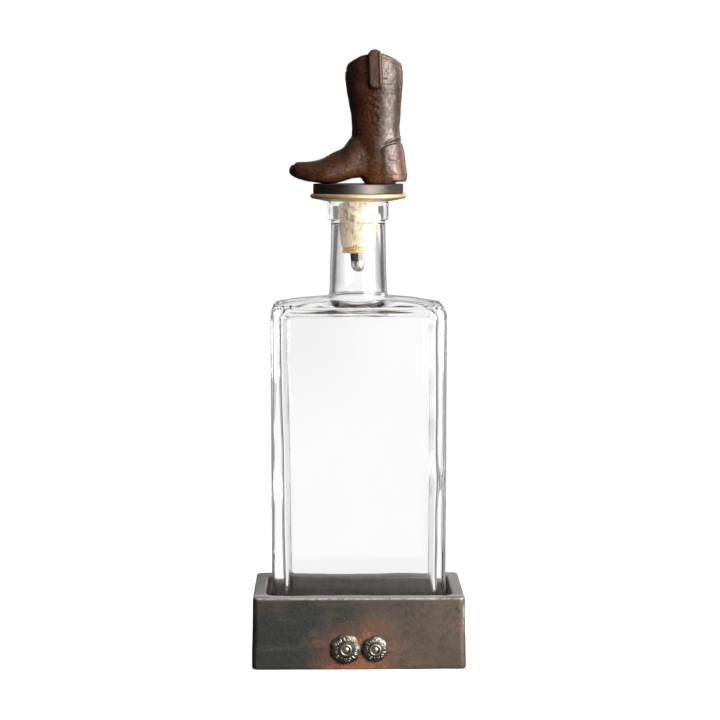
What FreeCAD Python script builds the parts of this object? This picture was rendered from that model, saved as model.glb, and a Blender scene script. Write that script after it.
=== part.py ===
import FreeCAD, Part
import os
import re

import Sketcher
from FreeCAD import Rotation, Vector

# A flat glass decanter that stands in an open cast-iron tray. A cork stopper closes it: a
# threaded stud with a dome nut clamps the cork, a brass flange and a steel plate together,
# and a small cast boot is screwed to the plate. Two round studs are riveted to the tray.
#
# Millimetres. +Z is up, the studs face -Y and the boot's toe points to -X. The origin is
# the centre of the tray's underside.

# Driving dimensions: name, value, what it is.
SIZES = [
    ("bottle_width", 91, "glass body, side to side"),
    ("bottle_depth", 44.5, "glass body, front to back"),
    ("bottle_corner", 4.2, "radius of the body's four upright edges"),
    ("shoulder_height", 181.3, "glass base to the top of the body's sides"),
    ("shoulder_rise", 4, "slope of the shoulder, up to the neck"),
    ("shoulder_round", 3.8, "radius along the shoulder's edge"),
    ("base_round", 2.6, "radius along the glass base"),
    ("bottle_height", 235.4, "glass base to the rim"),
    ("glass_wall", 4, "thickness of the four sides"),
    ("glass_base", 7, "thickness of the glass base"),
    ("glass_ceiling", 5.3, "thickness of the shoulder at the neck"),
    ("glass_inner_corner", 6.1, "radius of the hollow's upright corners"),
    ("glass_inner_round", 5.5, "radius round the hollow's floor and ceiling"),
    ("neck_flare", 4, "radius where the neck leaves the shoulder"),
    ("neck_sink", 0.3, "how far the neck's foot sinks into the arched shoulder"),
    ("lip_proud", 1.2, "how far the lip stands off the neck"),
    ("lip_height", 9.8, "height of the lip"),
    ("lip_round", 1.2, "radius of the lip's edges"),
    ("mouth_diameter", 21, "bore that grips the cork"),
    ("mouth_length", 12.4, "length of the straight bore"),
    ("mouth_bevel", 0.5, "bevel of the mouth's edge"),
    ("neck_wall", 4.2, "glass round the straight bore"),
    ("throat_wall", 2.2, "glass round the bore's wide lower end"),
    ("throat_round", 3, "radius where the bore opens into the body"),
    ("tray_height", 38.2, "tray, underside to rim"),
    ("tray_floor", 7, "thickness of the tray's floor"),
    ("tray_end_wall", 6.5, "tray wall at the left and right, at the rim"),
    ("tray_side_wall", 7, "tray wall at the front and back"),
    ("tray_draft", 0.7, "how far each end wall leans out at the foot"),
    ("tray_corner", 3.2, "radius of the tray's upright edges"),
    ("tray_edge_round", 0.9, "radius along the rim and the foot"),
    ("pocket_end_gap", 3.2, "bottle to pocket, at each end"),
    ("pocket_side_gap", 1.25, "bottle to pocket, front and back"),
    ("pocket_corner", 5, "radius of the pocket's corners"),
    ("stud_height", 11.2, "tray's underside to the studs' centres"),
    ("left_stud_place", 6.9, "left stud's centre, left of the middle"),
    ("left_stud_diameter", 16.2, "left stud"),
    ("right_stud_diameter", 14, "right stud"),
    ("stud_gap", 0.1, "between the rims of the two studs"),
    ("stud_rim_thickness", 0.9, "stud's thickness at its rim"),
    ("stud_crown", 2.1, "stud's thickness beside the hub"),
    ("hub_diameter", 5.8, "raised ring at a stud's centre"),
    ("hub_height", 3, "top of the raised ring above the tray"),
    ("hub_hollow_diameter", 4.2, "hollow in the raised ring"),
    ("notch_diameter", 2.2, "bites round a stud's rim"),
    ("notch_reach", 0.7, "centre of a bite, outside the rim"),
    ("notch_count", 7, "how many bites"),
    ("rivet_diameter", 2.6, "rivet's shank"),
    ("rivet_head_diameter", 3.8, "rivet's head, in the hub's hollow"),
    ("rivet_head_height", 0.9, "height of the rivet's head"),
    ("rivet_tail_diameter", 5, "hammered tail, flush inside the pocket"),
    ("rivet_tail_depth", 1.2, "depth of its countersink"),
    ("fit_gap", 0.05, "clearance round shanks and studs"),
    ("flange_margin", 1.5, "brass flange, beyond the plate's edge"),
    ("flange_thickness", 3.9, "brass flange at the middle"),
    ("flange_bead", 2.6, "height of the bead round its edge"),
    ("flange_seat_margin", 1.1, "flat face that sits on the lip, beyond the lip's edge"),
    ("plate_diameter", 47, "steel plate"),
    ("plate_thickness", 5.05, "steel plate"),
    ("plate_bevel", 0.35, "bevel of the plate's edges"),
    ("cork_gap", 0.05, "cork to bore, all round"),
    ("cork_relief", 0.7, "the cork's taper starts this far above the bore's"),
    ("cork_length", 24, "whole cork"),
    ("cork_end_diameter", 17.4, "small end of the cork"),
    ("upper_washer_diameter", 16.2, "washer against the cork"),
    ("upper_washer_thickness", 1.3, "washer against the cork"),
    ("lower_washer_diameter", 17, "washer against the nut"),
    ("lower_washer_thickness", 1.7, "washer against the nut"),
    ("rod_diameter", 5, "threaded stud through the cork"),
    ("rod_bevel", 0.5, "bevel at its ends"),
    ("rod_cover", 1.05, "steel left over its upper end, in the plate"),
    ("rod_in_nut", 7.2, "how deep it is screwed into the nut"),
    ("nut_flats", 8, "dome nut, across its flats"),
    ("nut_hex_height", 4, "dome nut, its hexagon"),
    ("nut_dome_diameter", 7.5, "dome nut, its dome"),
    ("nut_height", 10, "whole dome nut"),
    ("run_past", 1, "how far a cut or a join runs past the face it meets"),
    ("boot_height", 68.9, "boot, heel to the top of its pull straps"),
    ("shaft_height", 67.2, "boot, heel to the top of its sides"),
    ("shaft_dip", 5, "how far the shaft's top dips at front and back"),
    ("shaft_top_length", 29.6, "shaft near its top, front to back"),
    ("shaft_top_width", 23, "shaft near its top, across"),
    ("shaft_centre", 8.2, "middle of the shaft, behind the rod's axis"),
    ("shaft_bulge_height", 54.2, "heel to the shaft's longest place"),
    ("shaft_rim_length", 27, "shaft at its very top, front to back"),
    ("shaft_rim_width", 22, "shaft at its very top, across"),
    ("calf_height", 41.7, "heel to the middle of the shaft"),
    ("calf_length", 26.8, "middle of the shaft, front to back"),
    ("calf_width", 20, "middle of the shaft, across"),
    ("calf_centre", 8.9, "middle of the shaft, behind the rod's axis"),
    ("ankle_height", 28.2, "heel to the narrowest part"),
    ("ankle_length", 25, "narrowest part, front to back"),
    ("ankle_width", 17.6, "narrowest part, across"),
    ("ankle_centre", 9.1, "middle of the ankle, behind the rod's axis"),
    ("counter_height", 10, "heel to the widest place of the foot's back"),
    ("counter_length", 27.4, "back part of the foot, front to back"),
    ("counter_width", 18, "back part of the foot, across"),
    ("counter_back", 25.4, "back of the foot, behind the rod's axis"),
    ("seat_margin", 1.6, "how much the heel's seat is narrower, all round"),
    ("toe_reach", 36, "tip of the toe, in front of the rod's axis"),
    ("toe_tip_height", 8.2, "heel's plane to the top of the toe's tip"),
    ("toe_tip_width", 3.2, "toe's tip, across"),
    ("toe_box_length", 4.6, "toe's tip to the toe's full height"),
    ("toe_height", 11.4, "heel's plane to the top of the toe"),
    ("toe_width", 10.8, "toe, across"),
    ("ball_width", 21.4, "widest part of the foot"),
    ("ball_reach", 19, "widest part, in front of the rod's axis"),
    ("ball_height", 13.6, "heel's plane to the top of the ball"),
    ("waist_reach", 10, "foot between ball and shaft, in front of the rod's axis"),
    ("waist_height", 19.4, "heel's plane to the top of the waist"),
    ("waist_width", 20, "waist, across"),
    ("instep_width", 18.6, "foot where it meets the shaft"),
    ("instep_height", 26.5, "heel's plane to the top of the instep"),
    ("foot_depth", 4, "how far the foot's ovals reach below the heel, before the sole is cut"),
    ("toe_spring", 6.4, "how far the toe's tip stands off the plate"),
    ("sole_front", 18, "front end of the flat sole"),
    ("sole_back", 11, "back end of the flat sole"),
    ("arch_height", 3.3, "gap under the arch"),
    ("arch_setback", 2.6, "top of the arch, in front of the heel"),
    ("tread_rise", 2.6, "sole's height under the toe's full height"),
    ("heel_front", 3.8, "front of the heel, behind the rod's axis"),
    ("heel_back", 18.6, "back of the heel, behind the rod's axis"),
    ("heel_lift", 1.5, "overhang behind the heel, above the plate"),
    ("heel_slope", 1, "slope of the heel's back"),
    ("hollow_depth", 9, "hollow in the top of the shaft"),
    ("hollow_wall", 2.6, "wall round that hollow"),
    ("strap_width", 6.8, "pull strap"),
    ("strap_length", 20.4, "pull strap"),
    ("strap_proud", 0.9, "how far a strap stands off the shaft"),
    ("strap_lean", 2, "lean of the straps, in degrees"),
    ("screw_diameter", 3, "screws from the plate into the boot"),
    ("screw_head_diameter", 5.6, "their countersunk heads"),
    ("screw_head_height", 1.6, "their countersunk heads"),
    ("screw_bite", 6, "how deep they go into the boot"),
    ("sole_screw_reach", 14.5, "front screw, in front of the rod's axis"),
    ("heel_screw_reach", 11, "back screw, behind the rod's axis"),
]

# Formulas of the sizes above that more than one piece uses.
POCKET_WIDTH = "(bottle_width + 2 * pocket_end_gap)"
POCKET_DEPTH = "(bottle_depth + 2 * pocket_side_gap)"
TRAY_WIDTH = f"({POCKET_WIDTH} + 2 * tray_end_wall)"
TRAY_DEPTH = f"({POCKET_DEPTH} + 2 * tray_side_wall)"
LEFT_STUD = "(-left_stud_place)"
RIGHT_STUD = "((left_stud_diameter + right_stud_diameter) / 2 + stud_gap - left_stud_place)"
NECK_DIAMETER = "(mouth_diameter + 2 * neck_wall)"
THROAT_DIAMETER = f"({NECK_DIAMETER} - 2 * throat_wall)"
LIP_DIAMETER = f"({NECK_DIAMETER} + 2 * lip_proud)"
ROD_IN_PLATE = "(plate_thickness - rod_cover)"
LIP_PLANE = "(tray_floor + bottle_height)"
PLATE_PLANE = f"({LIP_PLANE} + flange_thickness)"
BOOT_PLANE = f"({PLATE_PLANE} + plate_thickness)"
WASHER_PLANE = f"({LIP_PLANE} - cork_length)"
NUT_PLANE = f"({WASHER_PLANE} - upper_washer_thickness - lower_washer_thickness)"
ROD_HOLE_RADIUS = "(rod_diameter / 2 + fit_gap)"
SHANK_HOLE_RADIUS = "(rivet_diameter / 2 + fit_gap)"
SCREW_HOLE_RADIUS = "(screw_diameter / 2 + fit_gap)"

TOUCH = 1e-4  # two places closer than this are the same place

document = FreeCAD.newDocument("decanter")
sheet = document.addObject("Spreadsheet::Sheet", "sizes")
for row, (alias, number, meaning) in enumerate(SIZES, start=1):
    sheet.set(f"A{row}", meaning)
    sheet.set(f"B{row}", str(number))
    sheet.setAlias(f"B{row}", alias)
document.recompute()


# ---------------------------------------------------------------- sheet, sketches, features

def formula(text):
    """Give every size that the text names its place on the sheet."""
    return re.sub(r"[a-z]+(?:_[a-z]+)+", r"sizes.\g<0>", str(text))


def value(text):
    """The number that a formula comes to now."""
    return float(sheet.evalExpression(formula(text)))


def bind(thing, setting, text):
    thing.setExpression(setting, formula(text))


def new_body(name, height="0"):
    """A body of its own for one piece, standing at a height above the origin."""
    body = document.addObject("PartDesign::Body", name)
    body.Label = name
    bind(body, "Placement.Base.z", height)
    return body


def new_sketch(body, name, plane, shift="0"):
    """An empty sketch on one of the body's own planes, moved along the plane's normal."""
    sketch = body.newObject("Sketcher::SketchObject", name)
    origin_plane = next(item for item in body.Origin.OriginFeatures if item.Role == plane)
    sketch.AttachmentSupport = [(origin_plane, "")]
    sketch.MapMode = "FlatFace"
    bind(sketch, "AttachmentOffset.Base.z", shift)
    return sketch


def hold(sketch, kind, item, point, text):
    """Hold one coordinate of a point of the sketch at a formula."""
    rule = sketch.addConstraint(Sketcher.Constraint(kind, -1, 1, item, point, value(text)))
    bind(sketch, f"Constraints[{rule}]", text)


def size(sketch, kind, item, text):
    """Hold a radius or another single size of an item of the sketch at a formula."""
    rule = sketch.addConstraint(Sketcher.Constraint(kind, item, value(text)))
    bind(sketch, f"Constraints[{rule}]", text)


def arc_between(start, end, radius):
    """An arc that turns left on its way from start to end, or right for a negative radius."""
    way = end - start
    side = Vector(-way.y, way.x, 0).normalize()
    reach = max(radius ** 2 - (way.Length / 2) ** 2, 0) ** 0.5
    centre = start + way / 2 + side * (reach if radius > 0 else -reach)
    middle = centre - side * radius
    return Part.Arc(start, middle, end)


def outline(sketch, corners):
    """A closed outline. Each corner is (across, up), and a third entry makes the way to the
    next corner an arc of that radius: left-turning, or right-turning when negative."""
    places = [Vector(value(corner[0]), value(corner[1]), 0) for corner in corners]
    items = []
    for number, corner in enumerate(corners):
        start = places[number]
        end = places[(number + 1) % len(corners)]
        if len(corner) == 2:
            items.append((sketch.addGeometry(Part.LineSegment(start, end)), 1, 2))
            continue
        turns_left = value(corner[2]) > 0
        arc = sketch.addGeometry(arc_between(start, end, value(corner[2])))
        items.append((arc, 1, 2) if turns_left else (arc, 2, 1))
        size(sketch, "Radius", arc, corner[2] if turns_left else f"-({corner[2]})")
    for number, corner in enumerate(corners):
        item, first, _ = items[number]
        before, _, last = items[number - 1]
        hold(sketch, "DistanceX", item, first, corner[0])
        hold(sketch, "DistanceY", item, first, corner[1])
        sketch.addConstraint(Sketcher.Constraint("Coincident", before, last, item, first))


def rounded_rectangle(sketch, width, depth, corner):
    """A rectangle about the sketch's origin, with round corners."""
    right = f"({width}) / 2"
    back = f"({depth}) / 2"
    outline(sketch, [
        (f"{right} - ({corner})", f"-{back}", corner),
        (right, f"-{back} + ({corner})"),
        (right, f"{back} - ({corner})", corner),
        (f"{right} - ({corner})", back),
        (f"-{right} + ({corner})", back, corner),
        (f"-{right}", f"{back} - ({corner})"),
        (f"-{right}", f"-{back} + ({corner})", corner),
        (f"-{right} + ({corner})", f"-{back}"),
    ])


def circle(sketch, radius, across="0", up="0"):
    centre = Vector(value(across), value(up), 0)
    item = sketch.addGeometry(Part.Circle(centre, Vector(0, 0, 1), value(radius)))
    hold(sketch, "DistanceX", item, 3, across)
    hold(sketch, "DistanceY", item, 3, up)
    size(sketch, "Radius", item, radius)


def ellipse(sketch, across, up, half_long, half_short, upright=False):
    """An ellipse whose long axis lies across the sketch, or stands upright in it."""
    centre = Vector(value(across), value(up), 0)
    long_way = Vector(0, 1, 0) if upright else Vector(1, 0, 0)
    short_way = Vector(-long_way.y, long_way.x, 0)
    tip = centre + long_way * value(half_long)
    side = centre + short_way * value(half_short)
    item = sketch.addGeometry(Part.Ellipse(tip, side, centre))
    sketch.exposeInternalGeometry(item)
    long_axis = item + 1
    short_axis = item + 2
    for point, sign in ((1, "+"), (2, "-")):
        reach = f"({up}) {sign} ({half_long})" if upright else f"({across}) {sign} ({half_long})"
        hold(sketch, "DistanceX", long_axis, point, across if upright else reach)
        hold(sketch, "DistanceY", long_axis, point, reach if upright else up)
    if upright:
        sign = "+" if sketch.Geometry[short_axis].StartPoint.x > centre.x else "-"
        hold(sketch, "DistanceX", short_axis, 1, f"({across}) {sign} ({half_short})")
    else:
        sign = "+" if sketch.Geometry[short_axis].StartPoint.y > centre.y else "-"
        hold(sketch, "DistanceY", short_axis, 1, f"({up}) {sign} ({half_short})")


def pad(body, name, sketch, length, midplane=False):
    feature = body.newObject("PartDesign::Pad", name)
    feature.Profile = sketch
    feature.Midplane = midplane
    bind(feature, "Length", length)
    document.recompute()
    return feature


def pocket(body, name, sketch, length, midplane=False, forwards=False):
    """Cut the sketch against its plane's normal, forwards along it, or both ways."""
    feature = body.newObject("PartDesign::Pocket", name)
    feature.Profile = sketch
    feature.Midplane = midplane
    feature.Reversed = forwards
    bind(feature, "Length", length)
    before = body.Shape.Volume
    document.recompute()
    if not feature.Shape.Volume < before:
        raise RuntimeError(f"{name} cuts nothing")
    return feature


def turn(body, name, sketch, cut=False):
    """Turn a profile on the XZ plane once round the body's Z axis, as metal or as a cut."""
    kind = "PartDesign::Groove" if cut else "PartDesign::Revolution"
    feature = body.newObject(kind, name)
    feature.Profile = sketch
    feature.ReferenceAxis = (sketch, ["V_Axis"])
    feature.Angle = 360
    before = body.Shape.Volume if cut else 0
    document.recompute()
    if cut and not feature.Shape.Volume < before:
        raise RuntimeError(f"{name} cuts nothing")
    return feature


def loft(body, name, sketches, cut=False):
    feature = body.newObject("PartDesign::SubtractiveLoft" if cut else "PartDesign::AdditiveLoft", name)
    feature.Profile = sketches[0]
    feature.Sections = sketches[1:]
    document.recompute()
    return feature


def edges_where(feature, test):
    """Names of the edges whose every end and middle pass the test."""
    names = []
    for number, edge in enumerate(feature.Shape.Edges, start=1):
        first, last = edge.ParameterRange
        spots = [edge.valueAt(first), edge.valueAt((first + last) / 2), edge.valueAt(last)]
        if all(test(spot) for spot in spots):
            names.append(f"Edge{number}")
    if not names:
        raise RuntimeError(f"no edge to round on {feature.Label}")
    return names


def near(one, other):
    return abs(one - other) < TOUCH


def at_height(text):
    height = value(text)
    return lambda spot: near(spot.z, height)


def round_edges(body, name, feature, names, radius):
    fillet = body.newObject("PartDesign::Fillet", name)
    fillet.Base = (feature, names)
    bind(fillet, "Radius", radius)
    document.recompute()
    return fillet


def bevel_edges(body, name, feature, names, breadth):
    bevel = body.newObject("PartDesign::Chamfer", name)
    bevel.Base = (feature, names)
    bind(bevel, "Size", breadth)
    document.recompute()
    return bevel


# ---------------------------------------------------------------- tray and its studs

def make_tray():
    """Open box of cast iron: ends that lean out a little, and a pocket for the bottle."""
    body = new_body("tray")
    foot = new_sketch(body, "tray_foot", "XY_Plane")
    rounded_rectangle(foot, f"{TRAY_WIDTH} + 2 * tray_draft", TRAY_DEPTH, "tray_corner")
    rim = new_sketch(body, "tray_rim", "XY_Plane", "tray_height")
    rounded_rectangle(rim, TRAY_WIDTH, TRAY_DEPTH, "tray_corner")
    block = loft(body, "tray_block", [foot, rim])
    plan = new_sketch(body, "tray_pocket_plan", "XY_Plane", "tray_height")
    rounded_rectangle(plan, POCKET_WIDTH, POCKET_DEPTH, "pocket_corner")
    pocket(body, "tray_pocket", plan, "tray_height - tray_floor")
    for name, place in (("left_shank_hole", LEFT_STUD), ("right_shank_hole", RIGHT_STUD)):
        face = new_sketch(body, name + "_plan", "XZ_Plane", f"{TRAY_DEPTH} / 2")
        circle(face, SHANK_HOLE_RADIUS, place, "stud_height")
        pocket(body, name, face, "tray_side_wall + fit_gap")
        mouth = new_sketch(body, name + "_mouth", "XZ_Plane", f"{POCKET_DEPTH} / 2")
        circle(mouth, "rivet_tail_diameter / 2 + fit_gap", place, "stud_height")
        throat = new_sketch(body, name + "_throat", "XZ_Plane", f"{POCKET_DEPTH} / 2 + rivet_tail_depth")
        circle(throat, SHANK_HOLE_RADIUS, place, "stud_height")
        loft(body, name + "_countersink", [mouth, throat], cut=True)
    rims = edges_where(body.Tip, at_height("tray_height")) + edges_where(body.Tip, at_height("0"))
    round_edges(body, "tray_rounds", body.Tip, rims, "tray_edge_round")
    return body


def make_stud(side):
    """Round stud with a bitten rim and a raised ring, its back on the tray's front."""
    body = new_body(f"{side}_concho")
    body.Placement.Rotation = Rotation(Vector(1, 0, 0), 90)
    bind(body, "Placement.Base.x", LEFT_STUD if side == "left" else RIGHT_STUD)
    bind(body, "Placement.Base.y", f"-{TRAY_DEPTH} / 2")
    bind(body, "Placement.Base.z", "stud_height")
    profile = new_sketch(body, f"{side}_stud_profile", "XZ_Plane")
    outline(profile, [
        (SHANK_HOLE_RADIUS, "0"),
        (f"{side}_stud_diameter / 2", "0"),
        (f"{side}_stud_diameter / 2", "stud_rim_thickness"),
        ("hub_diameter / 2", "stud_crown"),
        ("hub_diameter / 2", "hub_height"),
        ("hub_hollow_diameter / 2", "hub_height"),
        ("hub_hollow_diameter / 2", "stud_crown"),
        (SHANK_HOLE_RADIUS, "stud_crown"),
    ])
    turn(body, f"{side}_stud_disc", profile)
    bite = new_sketch(body, f"{side}_bite_plan", "XY_Plane")
    circle(bite, "notch_diameter / 2", f"{side}_stud_diameter / 2 + notch_reach")
    first = pocket(body, f"{side}_bite", bite, "hub_height", forwards=True)
    ring = body.newObject("PartDesign::PolarPattern", f"{side}_bites")
    ring.Originals = [first]
    ring.Axis = (bite, ["N_Axis"])
    ring.Angle = 360
    bind(ring, "Occurrences", "notch_count")
    body.Tip = ring
    document.recompute()
    return body


def make_rivet(side):
    """Rivet through a stud and the tray's front wall, hammered flush inside the pocket."""
    body = new_body(f"{side}_rivet")
    body.Placement.Rotation = Rotation(Vector(1, 0, 0), 90)
    bind(body, "Placement.Base.x", LEFT_STUD if side == "left" else RIGHT_STUD)
    bind(body, "Placement.Base.y", f"-{TRAY_DEPTH} / 2")
    bind(body, "Placement.Base.z", "stud_height")
    profile = new_sketch(body, f"{side}_rivet_profile", "XZ_Plane")
    head_top = "stud_crown + rivet_head_height"
    head_radius = "rivet_head_diameter / 2"
    dome = f"(({head_radius}) ^ 2 + rivet_head_height ^ 2) / (2 * rivet_head_height)"
    outline(profile, [
        ("0", "-tray_side_wall"),
        ("rivet_tail_diameter / 2", "-tray_side_wall"),
        ("rivet_diameter / 2", "-tray_side_wall + rivet_tail_depth"),
        ("rivet_diameter / 2", "stud_crown"),
        (head_radius, "stud_crown", dome),
        ("0", head_top),
    ])
    turn(body, f"{side}_rivet_turned", profile)
    return body


# ---------------------------------------------------------------- bottle

def make_bottle():
    """Flat bottle of thick glass: rounded box, gentle shoulder, round neck and a thick lip."""
    body = new_body("bottle", "tray_floor")
    side = "bottle_width / 2"
    view = new_sketch(body, "bottle_front_view", "XZ_Plane")
    outline(view, [
        (f"-{side}", "0"),
        (side, "0"),
        (side, "shoulder_height", f"(({side}) ^ 2 + shoulder_rise ^ 2) / (2 * shoulder_rise)"),
        (f"-{side}", "shoulder_height"),
    ])
    block = pad(body, "bottle_block", view, "bottle_depth", midplane=True)
    half_width = value(side)
    half_depth = value("bottle_depth / 2")
    uprights = edges_where(
        block, lambda spot: near(abs(spot.x), half_width) and near(abs(spot.y), half_depth))
    block = round_edges(body, "bottle_corners", block, uprights, "bottle_corner")
    brow = value("shoulder_height") - TOUCH
    top_edges = edges_where(block, lambda spot: spot.z > brow)
    block = round_edges(body, "shoulder_rounds", block, top_edges, "shoulder_round")
    round_edges(body, "base_rounds", block, edges_where(block, at_height("0")), "base_round")
    make_neck(body)
    make_hollow(body)
    return body


def make_neck(body):
    """Neck that flares out of the shoulder, with a lip of rounded edges."""
    profile = new_sketch(body, "neck_profile", "XZ_Plane")
    neck_foot = "shoulder_height + shoulder_rise - neck_sink"
    neck = f"{NECK_DIAMETER} / 2"
    lip = f"{LIP_DIAMETER} / 2"
    bend = "min(lip_round; 0.9 * lip_proud)"
    outline(profile, [
        ("0", f"{neck_foot} - run_past"),
        (f"{neck} + neck_flare", f"{neck_foot} - run_past"),
        (f"{neck} + neck_flare", neck_foot, "-neck_flare"),
        (neck, f"{neck_foot} + neck_flare"),
        (neck, "bottle_height - lip_height"),
        (f"{lip} - {bend}", "bottle_height - lip_height", bend),
        (lip, f"bottle_height - lip_height + {bend}"),
        (lip, f"bottle_height - {bend}", bend),
        (f"{lip} - {bend}", "bottle_height"),
        ("0", "bottle_height"),
    ])
    turn(body, "neck", profile)


def make_hollow(body):
    """The space for the liquid, and the bore through the neck that the cork closes."""
    ceiling = "(shoulder_height + shoulder_rise - glass_ceiling)"
    plan = new_sketch(body, "hollow_plan", "XY_Plane", ceiling)
    inner_width = "bottle_width - 2 * glass_wall"
    inner_depth = "bottle_depth - 2 * glass_wall"
    rounded_rectangle(plan, inner_width, inner_depth, "glass_inner_corner")
    hollow = pocket(body, "hollow", plan, f"{ceiling} - glass_base")
    inner_edges = edges_where(hollow, inside_the_glass(ceiling))
    inner_edges += edges_where(hollow, inside_the_glass("glass_base"))
    round_edges(body, "hollow_rounds", hollow, inner_edges, "glass_inner_round")
    profile = new_sketch(body, "bore_profile", "XZ_Plane")
    mouth = "mouth_diameter / 2"
    throat = f"{THROAT_DIAMETER} / 2"
    outline(profile, [
        ("0", f"{ceiling} - run_past"),
        (f"{throat} + throat_round", f"{ceiling} - run_past"),
        (f"{throat} + throat_round", ceiling, "-throat_round"),
        (throat, f"{ceiling} + throat_round"),
        (mouth, "bottle_height - mouth_length"),
        (mouth, "bottle_height - mouth_bevel"),
        (f"{mouth} + mouth_bevel", "bottle_height"),
        (f"{mouth} + mouth_bevel", "bottle_height + run_past"),
        ("0", "bottle_height + run_past"),
    ])
    turn(body, "bore", profile, cut=True)


def inside_the_glass(text):
    """Test for the edges of the hollow at a height, clear of the outer faces."""
    level = at_height(text)
    half_width = value("bottle_width / 2 - glass_wall / 2")
    half_depth = value("bottle_depth / 2 - glass_wall / 2")
    return lambda spot: level(spot) and abs(spot.x) < half_width and abs(spot.y) < half_depth


# ---------------------------------------------------------------- stopper, turned pieces

def make_cork():
    """Cork: straight where it grips, tapered below, bored for the threaded stud."""
    body = new_body("cork", LIP_PLANE)
    profile = new_sketch(body, "cork_profile", "XZ_Plane")
    grip = "mouth_diameter / 2 - cork_gap"
    outline(profile, [
        (ROD_HOLE_RADIUS, "-cork_length"),
        ("cork_end_diameter / 2", "-cork_length"),
        (grip, "-(mouth_length - cork_relief)"),
        (grip, "0"),
        (ROD_HOLE_RADIUS, "0"),
    ])
    turn(body, "cork_turned", profile)
    return body


def make_flange():
    """Brass flange on the lip: flat seat, dished underside, round bead at the edge."""
    body = new_body("brass_flange", LIP_PLANE)
    profile = new_sketch(body, "flange_profile", "XZ_Plane")
    bead = "flange_bead / 2"
    edge = "(plate_diameter / 2 + flange_margin)"
    outline(profile, [
        (ROD_HOLE_RADIUS, "0"),
        (f"{LIP_DIAMETER} / 2 + flange_seat_margin", "0"),
        (f"{edge} - {bead}", "flange_thickness - flange_bead", bead),
        (edge, f"flange_thickness - {bead}", bead),
        (f"{edge} - {bead}", "flange_thickness"),
        (ROD_HOLE_RADIUS, "flange_thickness"),
    ])
    turn(body, "flange_turned", profile)
    return body


def make_washer(name, height, diameter, thickness):
    """Brass washer under the cork, its outer edge turned half round."""
    body = new_body(name, height)
    profile = new_sketch(body, name + "_profile", "XZ_Plane")
    edge = f"{diameter} / 2"
    bead = f"{thickness} / 2"
    outline(profile, [
        (ROD_HOLE_RADIUS, f"-{thickness}"),
        (f"{edge} - {bead}", f"-{thickness}", bead),
        (edge, f"-{bead}", bead),
        (f"{edge} - {bead}", "0"),
        (ROD_HOLE_RADIUS, "0"),
    ])
    turn(body, name + "_turned", profile)
    return body


def make_threaded_stud():
    """Stud from the dome nut, through washers, cork and flange, into the plate."""
    body = new_body("threaded_stud", NUT_PLANE)
    profile = new_sketch(body, "rod_profile", "XZ_Plane")
    top = f"{PLATE_PLANE} + {ROD_IN_PLATE} - {NUT_PLANE}"
    radius = "rod_diameter / 2"
    outline(profile, [
        ("0", "-rod_in_nut"),
        (f"{radius} - rod_bevel", "-rod_in_nut"),
        (radius, "-rod_in_nut + rod_bevel"),
        (radius, f"{top} - rod_bevel"),
        (f"{radius} - rod_bevel", top),
        ("0", top),
    ])
    turn(body, "rod_turned", profile)
    return body


def make_nut():
    """Dome nut: a hexagon against the washers, and a round dome below it."""
    body = new_body("acorn_nut", NUT_PLANE)
    plan = new_sketch(body, "hexagon_plan", "XY_Plane")
    flat = "nut_flats / 2"
    point = "nut_flats / sqrt(3)"
    outline(plan, [
        (flat, f"-({point}) / 2"),
        (flat, f"({point}) / 2"),
        ("0", point),
        (f"-{flat}", f"({point}) / 2"),
        (f"-{flat}", f"-({point}) / 2"),
        ("0", f"-({point})"),
    ])
    hexagon = body.newObject("PartDesign::Pad", "hexagon")
    hexagon.Profile = plan
    hexagon.Reversed = True
    bind(hexagon, "Length", "nut_hex_height")
    document.recompute()
    profile = new_sketch(body, "dome_profile", "XZ_Plane")
    dome = "nut_dome_diameter / 2"
    outline(profile, [
        ("0", "-nut_height", dome),
        (dome, f"-nut_height + {dome}"),
        (dome, "-nut_hex_height / 2"),
        ("0", "-nut_hex_height / 2"),
    ])
    turn(body, "dome", profile)
    bore = new_sketch(body, "nut_bore_plan", "XY_Plane")
    circle(bore, ROD_HOLE_RADIUS)
    pocket(body, "nut_bore", bore, "rod_in_nut + fit_gap")
    return body


def make_plate():
    """Steel plate under the boot: tapped for the stud, countersunk for the boot's screws."""
    body = new_body("top_plate", PLATE_PLANE)
    plan = new_sketch(body, "plate_plan", "XY_Plane")
    circle(plan, "plate_diameter / 2")
    disc = pad(body, "plate_disc", plan, "plate_thickness")
    rims = edges_where(disc, at_height("0")) + edges_where(disc, at_height("plate_thickness"))
    bevel_edges(body, "plate_bevels", disc, rims, "plate_bevel")
    tapped = new_sketch(body, "tapped_plan", "XY_Plane")
    circle(tapped, ROD_HOLE_RADIUS)
    pocket(body, "tapped_hole", tapped, f"{ROD_IN_PLATE} + fit_gap", forwards=True)
    for name, place in (("sole_screw", "-sole_screw_reach"), ("heel_screw", "heel_screw_reach")):
        hole = new_sketch(body, name + "_plan", "XY_Plane")
        circle(hole, SCREW_HOLE_RADIUS, place)
        pocket(body, name + "_hole", hole, "plate_thickness", forwards=True)
        low = new_sketch(body, name + "_mouth", "XY_Plane")
        circle(low, "screw_head_diameter / 2 + fit_gap", place)
        high = new_sketch(body, name + "_throat", "XY_Plane", "screw_head_height")
        circle(high, SCREW_HOLE_RADIUS, place)
        loft(body, name + "_countersink", [low, high], cut=True)
    return body


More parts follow.
